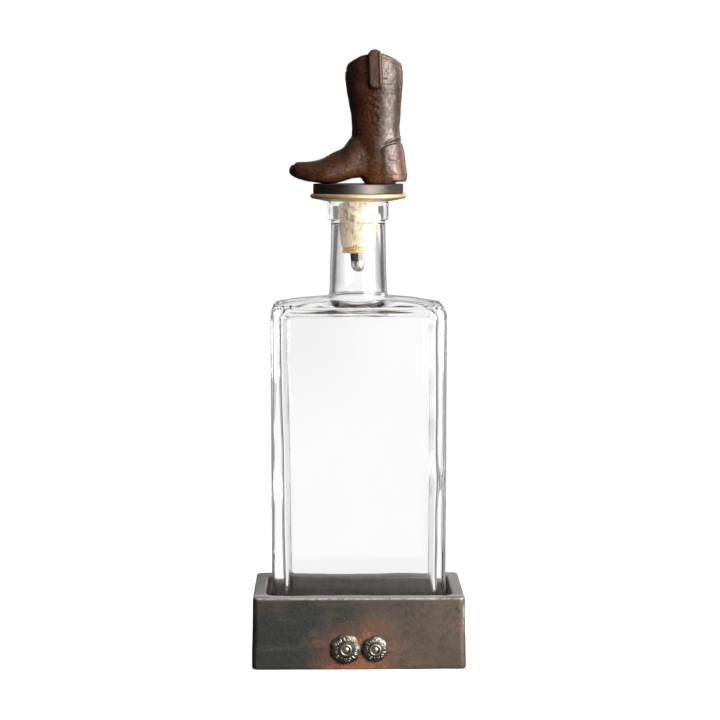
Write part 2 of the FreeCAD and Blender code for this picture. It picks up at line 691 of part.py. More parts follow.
def make_boot_screws():
    """Two countersunk screws, heads flush with the plate's underside, in one node."""
    screws = document.addObject("Part::MultiFuse", "boot_screws")
    screws.Label = "boot_screws"
    shapes = []
    for name, place in (("sole_screw", "-sole_screw_reach"), ("heel_screw", "heel_screw_reach")):
        head = document.addObject("Part::Cone", name + "_head")
        bind(head, "Radius1", "screw_head_diameter / 2")
        bind(head, "Radius2", "screw_diameter / 2")
        bind(head, "Height", "screw_head_height")
        shank = document.addObject("Part::Cylinder", name + "_shank")
        bind(shank, "Radius", "screw_diameter / 2")
        bind(shank, "Height", "plate_thickness + screw_bite")
        for item in (head, shank):
            bind(item, "Placement.Base.x", place)
            bind(item, "Placement.Base.z", PLATE_PLANE)
            shapes.append(item)
    screws.Shapes = shapes
    document.recompute()
    return screws


# ---------------------------------------------------------------- boot

def make_boot():
    """Cast boot, toe to -X: shaft and foot blended of oval sections, then the sole, the
    dipped top and its hollow cut away, and holes for the screws from below."""
    body = new_body("boot", BOOT_PLANE)
    loft(body, "boot_shaft", boot_shaft_sections(body))
    loft(body, "boot_foot", boot_foot_sections(body))
    cut_sole(body)
    arch_top(body)
    add_straps(body)
    hollow_shaft(body)
    for name, place in (("sole_bite", "-sole_screw_reach"), ("heel_bite", "heel_screw_reach")):
        hole = new_sketch(body, name + "_plan", "XY_Plane")
        circle(hole, SCREW_HOLE_RADIUS, place)
        pocket(body, name, hole, "screw_bite + fit_gap", forwards=True)
    return body


def boot_shaft_sections(body):
    """Level ovals from the heel up: height, middle, length and width of each."""
    counter = "(counter_back - counter_length / 2)"
    seat_length = "counter_length - 2 * seat_margin"
    stations = [
        ("-heel_lift", f"{counter} - seat_margin / 2", seat_length, "counter_width - 2 * seat_margin"),
        ("counter_height", counter, "counter_length", "counter_width"),
        ("ankle_height", "ankle_centre", "ankle_length", "ankle_width"),
        ("calf_height", "calf_centre", "calf_length", "calf_width"),
        ("shaft_bulge_height", "shaft_centre", "shaft_top_length", "shaft_top_width"),
        ("shaft_height + run_past", "shaft_centre", "shaft_rim_length", "shaft_rim_width"),
    ]
    sketches = []
    for number, (height, middle, length, width) in enumerate(stations):
        sketch = new_sketch(body, f"shaft_section_{number}", "XY_Plane", height)
        ellipse(sketch, middle, "0", f"({length}) / 2", f"({width}) / 2")
        sketches.append(sketch)
    return sketches


def boot_foot_sections(body):
    """Upright ovals from the toe back: place, top, width, and depth below the heel's plane.
    The sole is cut off them afterwards."""
    stations = [
        ("-toe_reach", "toe_tip_height", "toe_tip_width", "-toe_tip_height / 4"),
        ("-toe_reach + toe_box_length", "toe_height", "toe_width", "foot_depth / 3"),
        ("-ball_reach", "ball_height", "ball_width", "foot_depth * 3"),
        ("-waist_reach", "waist_height", "waist_width", "foot_depth * 2"),
        ("0", "instep_height", "instep_width", "foot_depth"),
        ("shaft_centre", "instep_height", "ankle_width - 2 * seat_margin", "foot_depth"),
    ]
    sketches = []
    for number, (place, top, width, depth) in enumerate(stations):
        sketch = new_sketch(body, f"foot_section_{number}", "YZ_Plane", place)
        half_height = f"({top} + {depth}) / 2"
        ellipse(sketch, "0", f"({top} - ({depth})) / 2", half_height, f"({width}) / 2", upright=True)
        sketches.append(sketch)
    return sketches


def cut_sole(body):
    """Cut away everything under the sole: toe spring, flat tread, arch, heel, overhang."""
    sketch = new_sketch(body, "sole_side_view", "XZ_Plane")
    front = "-toe_reach - run_past"
    back = "counter_back + run_past"
    outline(sketch, [
        (front, "-2 * foot_depth - ball_width"),
        (back, "-2 * foot_depth - ball_width"),
        (back, "heel_lift"),
        ("heel_back + heel_slope", "heel_lift"),
        ("heel_back", "0"),
        ("heel_front", "0"),
        ("heel_front - arch_setback", "arch_height"),
        ("-sole_back", "0"),
        ("-sole_front", "0"),
        ("-toe_reach + toe_box_length", "tread_rise"),
        (front, "toe_spring"),
    ])
    pocket(body, "sole_cut", sketch, "ball_width + 2 * run_past", midplane=True)


def add_straps(body):
    """Pull straps: one bar right across the shaft, which the hollow then divides in two."""
    sketch = new_sketch(body, "strap_side_view", "XZ_Plane")
    bind(sketch, "AttachmentOffset.Rotation.Angle", "strap_lean")
    bind(sketch, "AttachmentOffset.Base.x", "shaft_centre + 0.3")
    bind(sketch, "AttachmentOffset.Base.y", "boot_height - strap_length")
    half = "strap_width / 2"
    outline(sketch, [
        (f"-{half}", half, half),
        ("0", "0", half),
        (half, half),
        (half, f"strap_length - {half}", half),
        ("0", "strap_length", half),
        (f"-{half}", f"strap_length - {half}"),
    ])
    return pad(body, "straps", sketch, "shaft_top_width + 2 * strap_proud", midplane=True)


def arch_top(body):
    """Arch the shaft's top: high at the sides, dipping to the front and the back."""
    sketch = new_sketch(body, "top_side_view", "XZ_Plane")
    half = "(shaft_top_length / 2 + run_past)"
    low = "shaft_height - shaft_dip"
    outline(sketch, [
        (f"shaft_centre + {half}", low, f"({half} ^ 2 + shaft_dip ^ 2) / (2 * shaft_dip)"),
        (f"shaft_centre - {half}", low),
        (f"shaft_centre - {half}", "boot_height + run_past"),
        (f"shaft_centre + {half}", "boot_height + run_past"),
    ])
    pocket(body, "top_cut", sketch, "shaft_top_width + 2 * run_past", midplane=True)


def hollow_shaft(body):
    """Hollow the shaft's top, which also parts the two straps."""
    mouth = new_sketch(body, "hollow_mouth", "XY_Plane", "boot_height + run_past")
    half_length = "shaft_top_length / 2 - hollow_wall"
    ellipse(mouth, "shaft_centre", "0", half_length, "shaft_top_width / 2 - hollow_wall")
    pocket(body, "shaft_hollow", mouth, "boot_height + run_past - shaft_height + hollow_depth")


pieces = [make_tray()]
for side in ("left", "right"):
    pieces.append(make_stud(side))
    pieces.append(make_rivet(side))
pieces.append(make_bottle())
pieces.append(make_cork())
pieces.append(make_flange())
pieces.append(make_washer("upper_cork_washer", WASHER_PLANE,
                          "upper_washer_diameter", "upper_washer_thickness"))
pieces.append(make_washer("lower_cork_washer", f"{WASHER_PLANE} - upper_washer_thickness",
                          "lower_washer_diameter", "lower_washer_thickness"))
pieces.append(make_threaded_stud())
pieces.append(make_nut())
pieces.append(make_plate())
pieces.append(make_boot_screws())
pieces.append(make_boot())
document.recompute()

for item in document.Objects:
    if "Invalid" in item.State or "Error" in item.State:
        raise RuntimeError(f"{item.Label} failed: {item.State}")
for piece in pieces:
    if piece.Shape.isNull() or not piece.Shape.isValid():
        raise RuntimeError(f"{piece.Label} has no valid shape")

os.makedirs("parts", exist_ok=True)
for piece in pieces:
    piece.Shape.exportStep(f"parts/{piece.Label}.step")
    box = piece.Shape.BoundBox
    print(f"{piece.Label:20s} {len(piece.Shape.Solids)} solid  {piece.Shape.Volume / 1000:8.2f} cm3"
          f"  z {box.ZMin:7.2f} to {box.ZMax:7.2f}")
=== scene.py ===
import math

import bmesh
import bpy
from mathutils import Matrix, Vector, noise


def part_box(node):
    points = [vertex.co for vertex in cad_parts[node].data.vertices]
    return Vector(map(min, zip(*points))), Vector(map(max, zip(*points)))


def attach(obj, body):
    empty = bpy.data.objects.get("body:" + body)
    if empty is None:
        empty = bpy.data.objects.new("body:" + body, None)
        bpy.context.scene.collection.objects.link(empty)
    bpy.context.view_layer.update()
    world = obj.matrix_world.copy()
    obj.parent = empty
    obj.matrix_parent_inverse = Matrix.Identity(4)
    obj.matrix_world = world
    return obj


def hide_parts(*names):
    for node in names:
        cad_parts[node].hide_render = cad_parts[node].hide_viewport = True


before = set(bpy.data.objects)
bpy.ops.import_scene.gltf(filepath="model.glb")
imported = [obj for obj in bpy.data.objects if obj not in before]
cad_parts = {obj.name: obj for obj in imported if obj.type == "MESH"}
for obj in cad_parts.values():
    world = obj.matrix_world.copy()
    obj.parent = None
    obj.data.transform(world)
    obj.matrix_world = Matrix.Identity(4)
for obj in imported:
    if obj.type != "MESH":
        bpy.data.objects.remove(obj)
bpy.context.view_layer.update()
MM = 0.001


# ---------------------------------------------------------------- the iron tray
# A shallow box sand-cast in grey iron, fettled by hand and then blackened and waxed.
# The bottle stands loose in its pocket; the two studs are riveted through its front wall.

tray_low, tray_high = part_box("tray")
TRAY_HEIGHT = tray_high.z
TRAY_RIM_WIDTH = 110.4 * MM
POCKET_WIDTH, POCKET_DEPTH, POCKET_FLOOR = 97.4 * MM, 47 * MM, 7 * MM
TRAY_CORNER, POCKET_CORNER, WORN_EDGE = 3.2 * MM, 5 * MM, 1.1 * MM
TRAY_GRID = 1.6 * MM
TRAY_FRONT, TRAY_SIDE = -30.5 * MM, 55.6 * MM
BLACKENED, BROWNED = (0.049, 0.05, 0.047), (0.105, 0.078, 0.057)
RUBBED, LIGHTER_BROWN = (0.11, 0.1, 0.086), (0.19, 0.132, 0.1)
RUST_BROWN, RUST_ORANGE = (0.17, 0.068, 0.036), (0.4, 0.15, 0.06)
PIT_BLACK, CHIP_GREY = (0.02, 0.014, 0.011), (0.4, 0.35, 0.28)
POCKET_GREY, RIM_PAINTED_LIGHT, RIM_BROWN = (0.2, 0.18, 0.17), (0.27, 0.25, 0.235), (0.13, 0.085, 0.06)
INNER_BRIGHT, OUTER_BRIGHT, CORNER_RUB_AND_HIGHLIGHT = (0.55, 0.53, 0.5), (0.42, 0.39, 0.36), (0.6, 0.58, 0.54)


def faces_up(bm, height):
    """The level faces at that height."""
    return [f for f in bm.faces if abs(f.calc_center_median().z - height) < 1e-5
            and abs(f.normal.z) > 0.9]


def round_over(bm, edges, radius, segments):
    """Rounds those edges."""
    bmesh.ops.bevel(bm, geom=edges, offset=radius, segments=segments, profile=0.5,
                    affect="EDGES", material=-1, clamp_overlap=True)


def upright(bm, reach_x, reach_y):
    """The upright edges that stand near the corners of a box of that half width and depth."""
    found = []
    for e in bm.edges:
        a, b = (v.co for v in e.verts)
        near_x = abs(abs(a.x) - reach_x) < 0.9 * MM
        if abs(a.z - b.z) > 10 * MM and near_x and abs(abs(a.y) - reach_y) < 0.2 * MM:
            found.append(e)
    return found


def slice_into_grid(bm, step, low, high):
    """Cuts the whole surface along planes a step apart, so that it can be dented."""
    for axis in range(3):
        across = Vector((0, 0, 0))
        across[axis] = 1
        count = int((high[axis] - low[axis]) / step)
        for k in range(1, count + 1):
            place = Vector((0, 0, 0))
            place[axis] = low[axis] + (k - 0.5) * step
            bmesh.ops.bisect_plane(bm, geom=bm.verts[:] + bm.edges[:] + bm.faces[:],
                                   dist=1e-7, plane_co=place, plane_no=across)


def lumps(point, size, seed):
    """A smooth random value from about -1 to 1; its lumps are about that size."""
    return noise.noise(point / size + Vector((seed * 7.3, seed * 3.1, seed * 5.7)))


def piece(bm, name, body, coat, node):
    """The bmesh becomes a smooth piece that rides on its body and stands for its CAD node."""
    mesh = bpy.data.meshes.new(name)
    bm.to_mesh(mesh)
    bm.free()
    mesh.shade_smooth()
    mesh.materials.append(coat)
    made = bpy.data.objects.new(name, mesh)
    bpy.context.scene.collection.objects.link(made)
    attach(made, body)
    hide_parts(node)


bm = bmesh.new()
bmesh.ops.create_cube(bm, size=1.0)
bmesh.ops.scale(bm, vec=(tray_high.x - tray_low.x, tray_high.y - tray_low.y, TRAY_HEIGHT),
                verts=bm.verts)
bmesh.ops.translate(bm, vec=(0, 0, TRAY_HEIGHT / 2), verts=bm.verts)
rim = faces_up(bm, TRAY_HEIGHT)[0]
bmesh.ops.scale(bm, vec=(TRAY_RIM_WIDTH / (tray_high.x - tray_low.x), 1, 1), verts=rim.verts)
bmesh.ops.inset_region(bm, faces=[rim], thickness=6 * MM)
for v in rim.verts:
    v.co.x = math.copysign(POCKET_WIDTH / 2, v.co.x)
    v.co.y = math.copysign(POCKET_DEPTH / 2, v.co.y)
sunk = bmesh.ops.extrude_discrete_faces(bm, faces=[rim])["faces"]
bmesh.ops.translate(bm, vec=(0, 0, POCKET_FLOOR - TRAY_HEIGHT), verts=sunk[0].verts)
round_over(bm, upright(bm, TRAY_SIDE, -TRAY_FRONT), TRAY_CORNER, 5)
round_over(bm, upright(bm, POCKET_WIDTH / 2, POCKET_DEPTH / 2), POCKET_CORNER, 6)
level = [e for e in bm.edges if abs(e.verts[0].co.z - e.verts[1].co.z) < 1e-6
         and len(e.link_faces) == 2 and e.calc_face_angle() > 1.0]
round_over(bm, level, WORN_EDGE, 3)
slice_into_grid(bm, TRAY_GRID, tray_low, tray_high)
bmesh.ops.recalc_face_normals(bm, faces=bm.faces)
bm.normal_update()
for v in bm.verts:
    high_up = min(1, max(0, (v.co.z - 8 * MM) / (20 * MM)))
    dent = 0.2 * lumps(v.co, 17 * MM, 1) + 0.07 * lumps(v.co, 5 * MM, 2) - 0.05
    v.co += v.normal * dent * MM
    v.co.z -= 0.3 * MM * high_up * max(0, lumps(v.co, 24 * MM, 3))
    v.co.x = min(max(v.co.x, tray_low.x), tray_high.x)
    v.co.y = min(max(v.co.y, tray_low.y), tray_high.y)
    v.co.z = min(max(v.co.z, 0), TRAY_HEIGHT)


def add(tree, kind, inputs=None, **settings):
    """A shader node with these settings, its inputs set or linked."""
    made = tree.nodes.new("ShaderNode" + kind)
    for field, value in settings.items():
        setattr(made, field, value)
    for key, value in (inputs or {}).items():
        if isinstance(value, bpy.types.NodeSocket):
            tree.links.new(value, made.inputs[key])
        else:
            made.inputs[key].default_value = value
    return made


def finish(name):
    """A new material: itself, its node tree and its shader."""
    made = bpy.data.materials.new(name)
    made.use_nodes = True
    tree = made.node_tree
    return made, tree, tree.nodes["Principled BSDF"]


def grain(tree, size, detail, roughness, stretch=(1, 1, 1), start=(0, 0, 0)):
    """A cloudy value from 0 to 1 on the piece's own coordinates; its clouds are about that size."""
    place = add(tree, "TexCoord").outputs["Object"]
    place = add(tree, "Mapping", {"Vector": place, "Scale": stretch, "Location": start}).outputs[0]
    return add(tree, "TexNoise", {"Vector": place, "Scale": 1 / size, "Detail": detail,
                                  "Roughness": roughness}).outputs["Fac"]


def pits(tree, size):
    """Distance to the nearest of many scattered points, 0 at a point."""
    place = add(tree, "TexCoord").outputs["Object"]
    return add(tree, "TexVoronoi", {"Vector": place, "Scale": 1 / size}).outputs["Distance"]


def between(tree, value, low, high, out_low=0.0, out_high=1.0):
    """Turns a value into a soft step from low to high."""
    return add(tree, "MapRange", {"Value": value, "From Min": low, "From Max": high,
                                  "To Min": out_low, "To Max": out_high},
               interpolation_type="SMOOTHSTEP").outputs[0]


def tint(tree, amount, first, second):
    """The first colour, with the second laid over it by that amount."""
    made = add(tree, "Mix", {0: amount}, data_type="RGBA")
    for place, colour in ((6, first), (7, second)):
        if isinstance(colour, bpy.types.NodeSocket):
            tree.links.new(colour, made.inputs[place])
        else:
            made.inputs[place].default_value = (*colour, 1)
    return made.outputs[2]


def sums(tree, how, first, second):
    """One arithmetic step."""
    return add(tree, "Math", {0: first, 1: second}, operation=how).outputs[0]


def both(tree, *shares):
    """Shares multiplied together: what lies where all of them do."""
    made = shares[0]
    for share in shares[1:]:
        made = sums(tree, "MULTIPLY", made, share)
    return made


def size_of(tree, value):
    """A value without its sign."""
    return add(tree, "Math", {0: value}, operation="ABSOLUTE").outputs[0]


def axis(tree, letter):
    """The piece's own x, y or z."""
    place = add(tree, "TexCoord").outputs["Object"]
    return add(tree, "SeparateXYZ", {0: place}).outputs["XYZ".index(letter)]


def near_to(tree, point, reach, squash=(1, 1, 1)):
    """1 at a point, fading to 0 at that reach."""
    place = add(tree, "TexCoord").outputs["Object"]
    off = add(tree, "VectorMath", {0: place, 1: point}, operation="SUBTRACT").outputs[0]
    off = add(tree, "VectorMath", {0: off, 1: squash}, operation="MULTIPLY").outputs[0]
    far = add(tree, "VectorMath", {0: off}, operation="LENGTH").outputs["Value"]
    return between(tree, far, 0.0, reach, 1.0, 0.0)


def relief(tree, height, depth, strength=1.0, under=None):
    """Bumps of that depth, laid over earlier ones."""
    made = add(tree, "Bump", {"Height": height, "Distance": depth, "Strength": strength})
    if under is not None:
        tree.links.new(under, made.inputs["Normal"])
    return made.outputs[0]


def set_shader(tree, shader, **inputs):
    """Sets or links the shader's own sockets, whose names have spaces for underscores."""
    for key, value in inputs.items():
        socket = shader.inputs[key.replace("_", " ")]
        if isinstance(value, bpy.types.NodeSocket):
            tree.links.new(value, socket)
        else:
            socket.default_value = value


tray_iron, tree, shader = finish("waxed_cast_iron")
cloud = grain(tree, 26 * MM, 8, 0.68)
fleck = grain(tree, 2.6 * MM, 8, 0.72, start=(0.3, 0.1, 0.7))
fine = grain(tree, 0.7 * MM, 3, 0.6)
rubbed = grain(tree, 3 * MM, 4, 0.6, stretch=(0.16, 1, 1), start=(0.2, 0.5, 0.1))
dark_end = near_to(tree, (-42 * MM, TRAY_FRONT, 15 * MM), 30 * MM, (0.8, 1, 1))
browner = sums(tree, "SUBTRACT", cloud, both(tree, dark_end, 0.22))
skin = tint(tree, between(tree, browner, 0.38, 0.62), BLACKENED, BROWNED)
skin = tint(tree, between(tree, rubbed, 0.5, 0.72, 0, 0.5), skin, RUBBED)

# rust, mostly round the studs, at the right end and along the foot
rust = near_to(tree, (-1 * MM, TRAY_FRONT, 9 * MM), 42 * MM, (0.8, 1, 1.2))
rust = sums(tree, "ADD", rust, both(tree, between(tree, cloud, 0.5, 0.75), 0.45))
right_end = near_to(tree, (51 * MM, TRAY_FRONT, 24 * MM), 13 * MM)
rust = sums(tree, "ADD", rust, both(tree, right_end, 0.75))
along_foot = near_to(tree, (0, TRAY_FRONT, 0), 50 * MM, (0.9, 1, 9))
rust = sums(tree, "ADD", rust, both(tree, along_foot, 0.35))
rusty = between(tree, both(tree, rust, fleck), 0.2, 0.5)
skin = tint(tree, both(tree, rusty, 0.85), skin, RUST_BROWN)
orange = between(tree, both(tree, rust, grain(tree, 1.5 * MM, 5, 0.7)), 0.42, 0.62)
skin = tint(tree, both(tree, orange, 0.75), skin, RUST_ORANGE)

# casting pits, chips in the wax, and a lighter brown growing towards the right
specks = between(tree, pits(tree, 2.3 * MM), 0.06, 0.17, 1, 0)
skin = tint(tree, both(tree, specks, 0.7), skin, PIT_BLACK)
chips = between(tree, grain(tree, 1.1 * MM, 6, 0.8, start=(0.9, 0.4, 0.2)), 0.6, 0.7)
skin = tint(tree, both(tree, chips, 0.8), skin, CHIP_GREY)
towards_right = between(tree, axis(tree, "X"), -25 * MM, 54 * MM, 0, 0.5)
skin = tint(tree, both(tree, towards_right, between(tree, fleck, 0.25, 0.6)), skin, LIGHTER_BROWN)

# the pocket's walls; the rim's top, lightened as painted light from above; lighter lines along its front
# edges; and the right-hand front corner, rubbed and carrying a painted highlight
in_pocket = both(tree, between(tree, size_of(tree, axis(tree, "X")), 49.6 * MM, 49 * MM),
                 between(tree, size_of(tree, axis(tree, "Y")), 24.4 * MM, 23.8 * MM))
skin = tint(tree, both(tree, in_pocket, between(tree, fleck, 0.35, 0.6, 0.2, 0.6)), skin, POCKET_GREY)
on_rim = between(tree, axis(tree, "Z"), 37.2 * MM, 37.9 * MM)
# painted light: the rim's top is lightened as if lit from above
skin = tint(tree, both(tree, on_rim, between(tree, fleck, 0.3, 0.6, 0.4, 0.95)), skin, RIM_PAINTED_LIGHT)
skin = tint(tree, both(tree, on_rim, between(tree, cloud, 0.48, 0.6, 0, 0.5)), skin, RIM_BROWN)
inner_edge = both(tree, between(tree, axis(tree, "Y"), -25.6 * MM, -24.2 * MM),
                  between(tree, axis(tree, "Y"), -23.0 * MM, -23.6 * MM))
skin = tint(tree, both(tree, inner_edge, on_rim, between(tree, fleck, 0.3, 0.5)), skin, INNER_BRIGHT)
outer_edge = both(tree, between(tree, axis(tree, "Y"), -29.5 * MM, -30.0 * MM),
                  between(tree, axis(tree, "Z"), 37.0 * MM, 37.5 * MM))
skin = tint(tree, both(tree, outer_edge, between(tree, fleck, 0.35, 0.6)), skin, OUTER_BRIGHT)
# partly painted highlight: the right-hand front corner, which faces the light, is lightened
corner = near_to(tree, (55.0 * MM, -29.8 * MM, 29 * MM), 6 * MM, (3.4, 3.4, 0.45))
skin = tint(tree, both(tree, corner, between(tree, fleck, 0.35, 0.55)), skin, CORNER_RUB_AND_HIGHLIGHT)
set_shader(tree, shader, Base_Color=skin, Metallic=0.35,
           Roughness=between(tree, sums(tree, "ADD", rusty, fleck), 0.3, 1.3, 0.36, 0.68),
           Normal=relief(tree, fine, 0.12 * MM, 0.5,
                         relief(tree, fleck, 0.4 * MM, 0.6, relief(tree, specks, -0.35 * MM))))
piece(bm, "tray_casting", "base", tray_iron, "tray")


# ---------------------------------------------------------------- the two studs
# Stamped pewter discs with bent, ragged rims and a raised ring round a rivet's head.
# Their band of raised rings and strokes is a plain made-up pattern.

STUD_TURNS = 210
STUD_HEIGHT, STAMP_HEIGHT = 2.98 * MM, 0.36 * MM
PEWTER_GREY, PEWTER_DARK = (0.25, 0.225, 0.19), (0.09, 0.075, 0.06)
PEWTER_BRIGHT, PEWTER_SCRATCH = (0.5, 0.47, 0.42), (0.25, 0.23, 0.2)
pewter, tree, shader = finish("pewter")
cloud = grain(tree, 3.2 * MM, 4, 0.6)
scratch = grain(tree, 0.5 * MM, 4, 0.7)
on_top = add(tree, "Attribute", attribute_name="raised").outputs["Fac"]
metal = tint(tree, between(tree, cloud, 0.35, 0.65), PEWTER_GREY, PEWTER_DARK)
metal = tint(tree, both(tree, on_top, 0.7), metal, PEWTER_BRIGHT)
metal = tint(tree, between(tree, scratch, 0.5, 0.75, 0, 0.5), metal, PEWTER_SCRATCH)
set_shader(tree, shader, Base_Color=metal, Metallic=0.9,
           Roughness=between(tree, scratch, 0.2, 0.8, 0.3, 0.5),
           Normal=relief(tree, scratch, 0.05 * MM, 0.5, relief(tree, cloud, 0.25 * MM, 0.5)))


def fade(value, low, high):
    """A soft step from 0 at low to 1 at high."""
    share = min(1.0, max(0.0, (value - low) / (high - low)))
    return share * share * (3 - 2 * share)


def stamp(turn, r, radius, marks, seed):
    """How strongly the die struck there: rings, strokes and pairs of strokes by turns."""
    place = turn / (2 * math.pi) * marks + seed
    which, band = int(place // 1), place % 1 - 0.5
    along = (r - 0.7 * radius) / MM
    around = band * 2 * math.pi * r / marks / MM
    if which % 3 == 0:
        off = abs(math.hypot(around, along) - 0.66) - 0.13
    elif which % 3 == 1:
        off = math.hypot(around - 0.25 * along, max(0, abs(along) - 0.8)) - 0.17
    else:
        off = min(math.hypot(around + 0.42, max(0, abs(along) - 0.7)),
                  math.hypot(around - 0.42, max(0, abs(along + 0.4) - 0.35))) - 0.14
    return min(1, max(0, 0.5 - off / 0.3))


def stud(name, node, seed, lobes, marks, lean):
    """One disc: a profile spun round the stud's centre, then bent, scalloped and stamped."""
    low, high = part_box(node)
    centre = (low + high) / 2
    radius = (high.z - low.z) / 2
    rim = radius / MM
    # radius and height in millimetres: the raised ring, the dished band, then the rolled rim
    profile = [(2.1, 2.1), (2.12, 2.75), (2.3, 2.93), (2.65, 2.98), (3.0, 2.9), (3.2, 2.6), (3.3, 2.15)]
    spread = [3.3 + (rim - 3.8) * k / 28 for k in range(1, 29)]
    profile += [(r, 2.1 - 1.05 * ((r - 3.3) / (rim - 3.3)) ** 1.8) for r in spread]
    profile += [(rim - 0.25, 1.05), (rim - 0.04, 0.8), (rim, 0.45), (rim - 0.05, 0.12), (rim - 0.3, 0.0)]
    bm = bmesh.new()
    chain = [bm.verts.new((r * MM, -h * MM, 0)) for r, h in profile]
    edges = [bm.edges.new(pair) for pair in zip(chain, chain[1:])]
    bmesh.ops.spin(bm, geom=chain + edges, cent=(0, 0, 0), axis=(0, 1, 0), dvec=(0, 0, 0),
                   angle=2 * math.pi, steps=STUD_TURNS, use_merge=True, use_duplicate=False)
    bmesh.ops.remove_doubles(bm, verts=bm.verts, dist=1e-7)
    bmesh.ops.holes_fill(bm, edges=[e for e in bm.edges if e.is_boundary], sides=0)
    raised = bm.verts.layers.float.new("raised")
    for v in bm.verts:
        r, turn = math.hypot(v.co.x, v.co.z), math.atan2(v.co.z, v.co.x)
        share = r / radius
        out = -v.co.y
        # the ragged rim
        wave = 0.5 - 0.5 * math.cos(lobes * turn + seed)
        ragged = noise.noise(Vector((math.cos(turn) * 1.9, math.sin(turn) * 1.9, seed)))
        shrink = 1 - share ** 5 * (0.06 * wave ** 3 + 0.07 * max(0, 0.2 + ragged))
        v.co.x *= shrink
        v.co.z *= shrink
        # the stamped band
        stamped = 0.0
        if 0.42 * radius < r < 0.97 * radius and out > 0.9 * MM:
            stamped = stamp(turn, r, radius, marks, seed)
            out += STAMP_HEIGHT * stamped
        v[raised] = max(stamped, fade(out, 2.4 * MM, 2.9 * MM))
        # hammered by hand: uneven all over, and leaning a little
        out += (0.22 * lumps(Vector((v.co.x, seed, v.co.z)), 4 * MM, 4) - 0.12) * MM * share
        out -= lean * v.co.x * share
        v.co.y = -min(max(out, 0), STUD_HEIGHT)
    bmesh.ops.translate(bm, vec=(centre.x, TRAY_FRONT, centre.z), verts=bm.verts)
    bmesh.ops.recalc_face_normals(bm, faces=bm.faces)
    piece(bm, name, "base", pewter, node)


stud("left_stud_disc", "left_concho", 0.4, 7, 15, 0.03)
stud("right_stud_disc", "right_concho", 2.1, 7, 14, 0.02)

# The rivets that hold the studs: soft steel, their heads hammered into the raised rings.
RIVET_GREY, RIVET_WARM = (0.3, 0.24, 0.19), (0.5, 0.38, 0.29)
rivet_steel, tree, shader = finish("hammered_rivet")
spot = grain(tree, 0.8 * MM, 3, 0.6)
metal = tint(tree, between(tree, spot, 0.4, 0.65), RIVET_GREY, RIVET_WARM)
set_shader(tree, shader, Base_Color=metal, Metallic=0.9,
           Roughness=between(tree, spot, 0.3, 0.7, 0.3, 0.5), Normal=relief(tree, spot, 0.1 * MM))


def refinish(node, material):
    """Gives a CAD node's surface its finish."""
    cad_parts[node].data.materials.clear()
    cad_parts[node].data.materials.append(material)


for node in ("left_rivet", "right_rivet"):
    refinish(node, rivet_steel)


# ---------------------------------------------------------------- the bottle
# Flat, clear, thick-walled glass pressed in a mould: straight outside, wavy inside.
# It stands loose in the tray and its neck's bore grips the cork.

glass_low, glass_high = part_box("bottle")
BOTTLE_TURNS = 200
HALF_WIDTH, HALF_DEPTH, BODY_CORNER = 45.5 * MM, 22.25 * MM, 4.2 * MM
SIDES_TOP, SHOULDER_RISE, SHOULDER_ROUND, BASE_ROUND = 188.3 * MM, 4 * MM, 3.6 * MM, 2.6 * MM
NECK_RADIUS, NECK_TOP_RADIUS, NECK_FLARE = 15.1 * MM, 14.1 * MM, 3.0 * MM
LIP_RADIUS, LIP_BOTTOM, LIP_EDGE = 15.9 * MM, 232.6 * MM, 1.1 * MM
INNER_WIDTH, INNER_DEPTH, INNER_CORNER = 41.5 * MM, 18.25 * MM, 6.1 * MM
INNER_FLOOR, INNER_CEILING, FLOOR_ROUND, CEILING_ROUND = 14 * MM, 187 * MM, 5.5 * MM, 5 * MM
BORE_RADIUS, BORE_END, THROAT_RADIUS, THROAT_ROUND = 10.5 * MM, 230 * MM, 12.5 * MM, 6 * MM
MOUTH_CHAMFER, CEILING_DROP, INNER_MARGIN, SWAY_FADE = 0.5 * MM, 0.8 * MM, 1.2 * MM, 12 * MM
CORNER_FROM, CORNER_TO = 0.24, 0.64
SIDE_RINGS, WALL_RINGS = 88, 84
CLEAR, SMOKY, EDGE_SHADE_GREY = (0.993, 0.995, 0.994), (0.945, 0.947, 0.945), (0.16, 0.165, 0.165)


def rounded(turn, half_x, half_y, corner):
    """A point of a rounded rectangle; its corners take most of the turns."""
    quarter, share = divmod(turn / (math.pi / 2), 1)
    if quarter % 2:
        share = 1 - share
    straight_y, straight_x = half_y - corner, half_x - corner
    if share < CORNER_FROM:
        x, y = half_x, straight_y * share / CORNER_FROM
    elif share < CORNER_TO:
        bend = (share - CORNER_FROM) / (CORNER_TO - CORNER_FROM) * math.pi / 2
        x, y = straight_x + corner * math.cos(bend), straight_y + corner * math.sin(bend)
    else:
        x, y = straight_x * (1 - share) / (1 - CORNER_TO), half_y
    return (x if quarter % 4 in (0, 3) else -x), (y if quarter % 4 in (0, 1) else -y)


def rings(bm, turns, places):
    """Draws a closed loop out from ring to ring; each place gives a point for every turn."""
    # each vertex remembers how far round its loop it stands
    memory = bm.verts.layers.float.get("round") or bm.verts.layers.float.new("round")
    start = bmesh.ops.create_circle(bm, segments=turns, radius=1.0)["verts"]
    for v in start:
        v[memory] = math.atan2(v.co.y, v.co.x) % (2 * math.pi)
        v.co = places[0](v[memory])
    edges = list({e for v in start for e in v.link_edges})
    first = edges
    for place in places[1:]:
        made = bmesh.ops.extrude_edge_only(bm, edges=edges)["geom"]
        fresh = {g for g in made if isinstance(g, bmesh.types.BMVert)}
        edges = [g for g in made if isinstance(g, bmesh.types.BMEdge)
                 and g.verts[0] in fresh and g.verts[1] in fresh]
        for v in fresh:
            v.co = place(v[memory])
    bmesh.ops.edgeloop_fill(bm, edges=first)
    bmesh.ops.edgeloop_fill(bm, edges=edges)


def box_ring(half_x, half_y, corner, z):
    """A level rounded rectangle."""
    return lambda turn: Vector((*rounded(turn, half_x, half_y, corner), z))


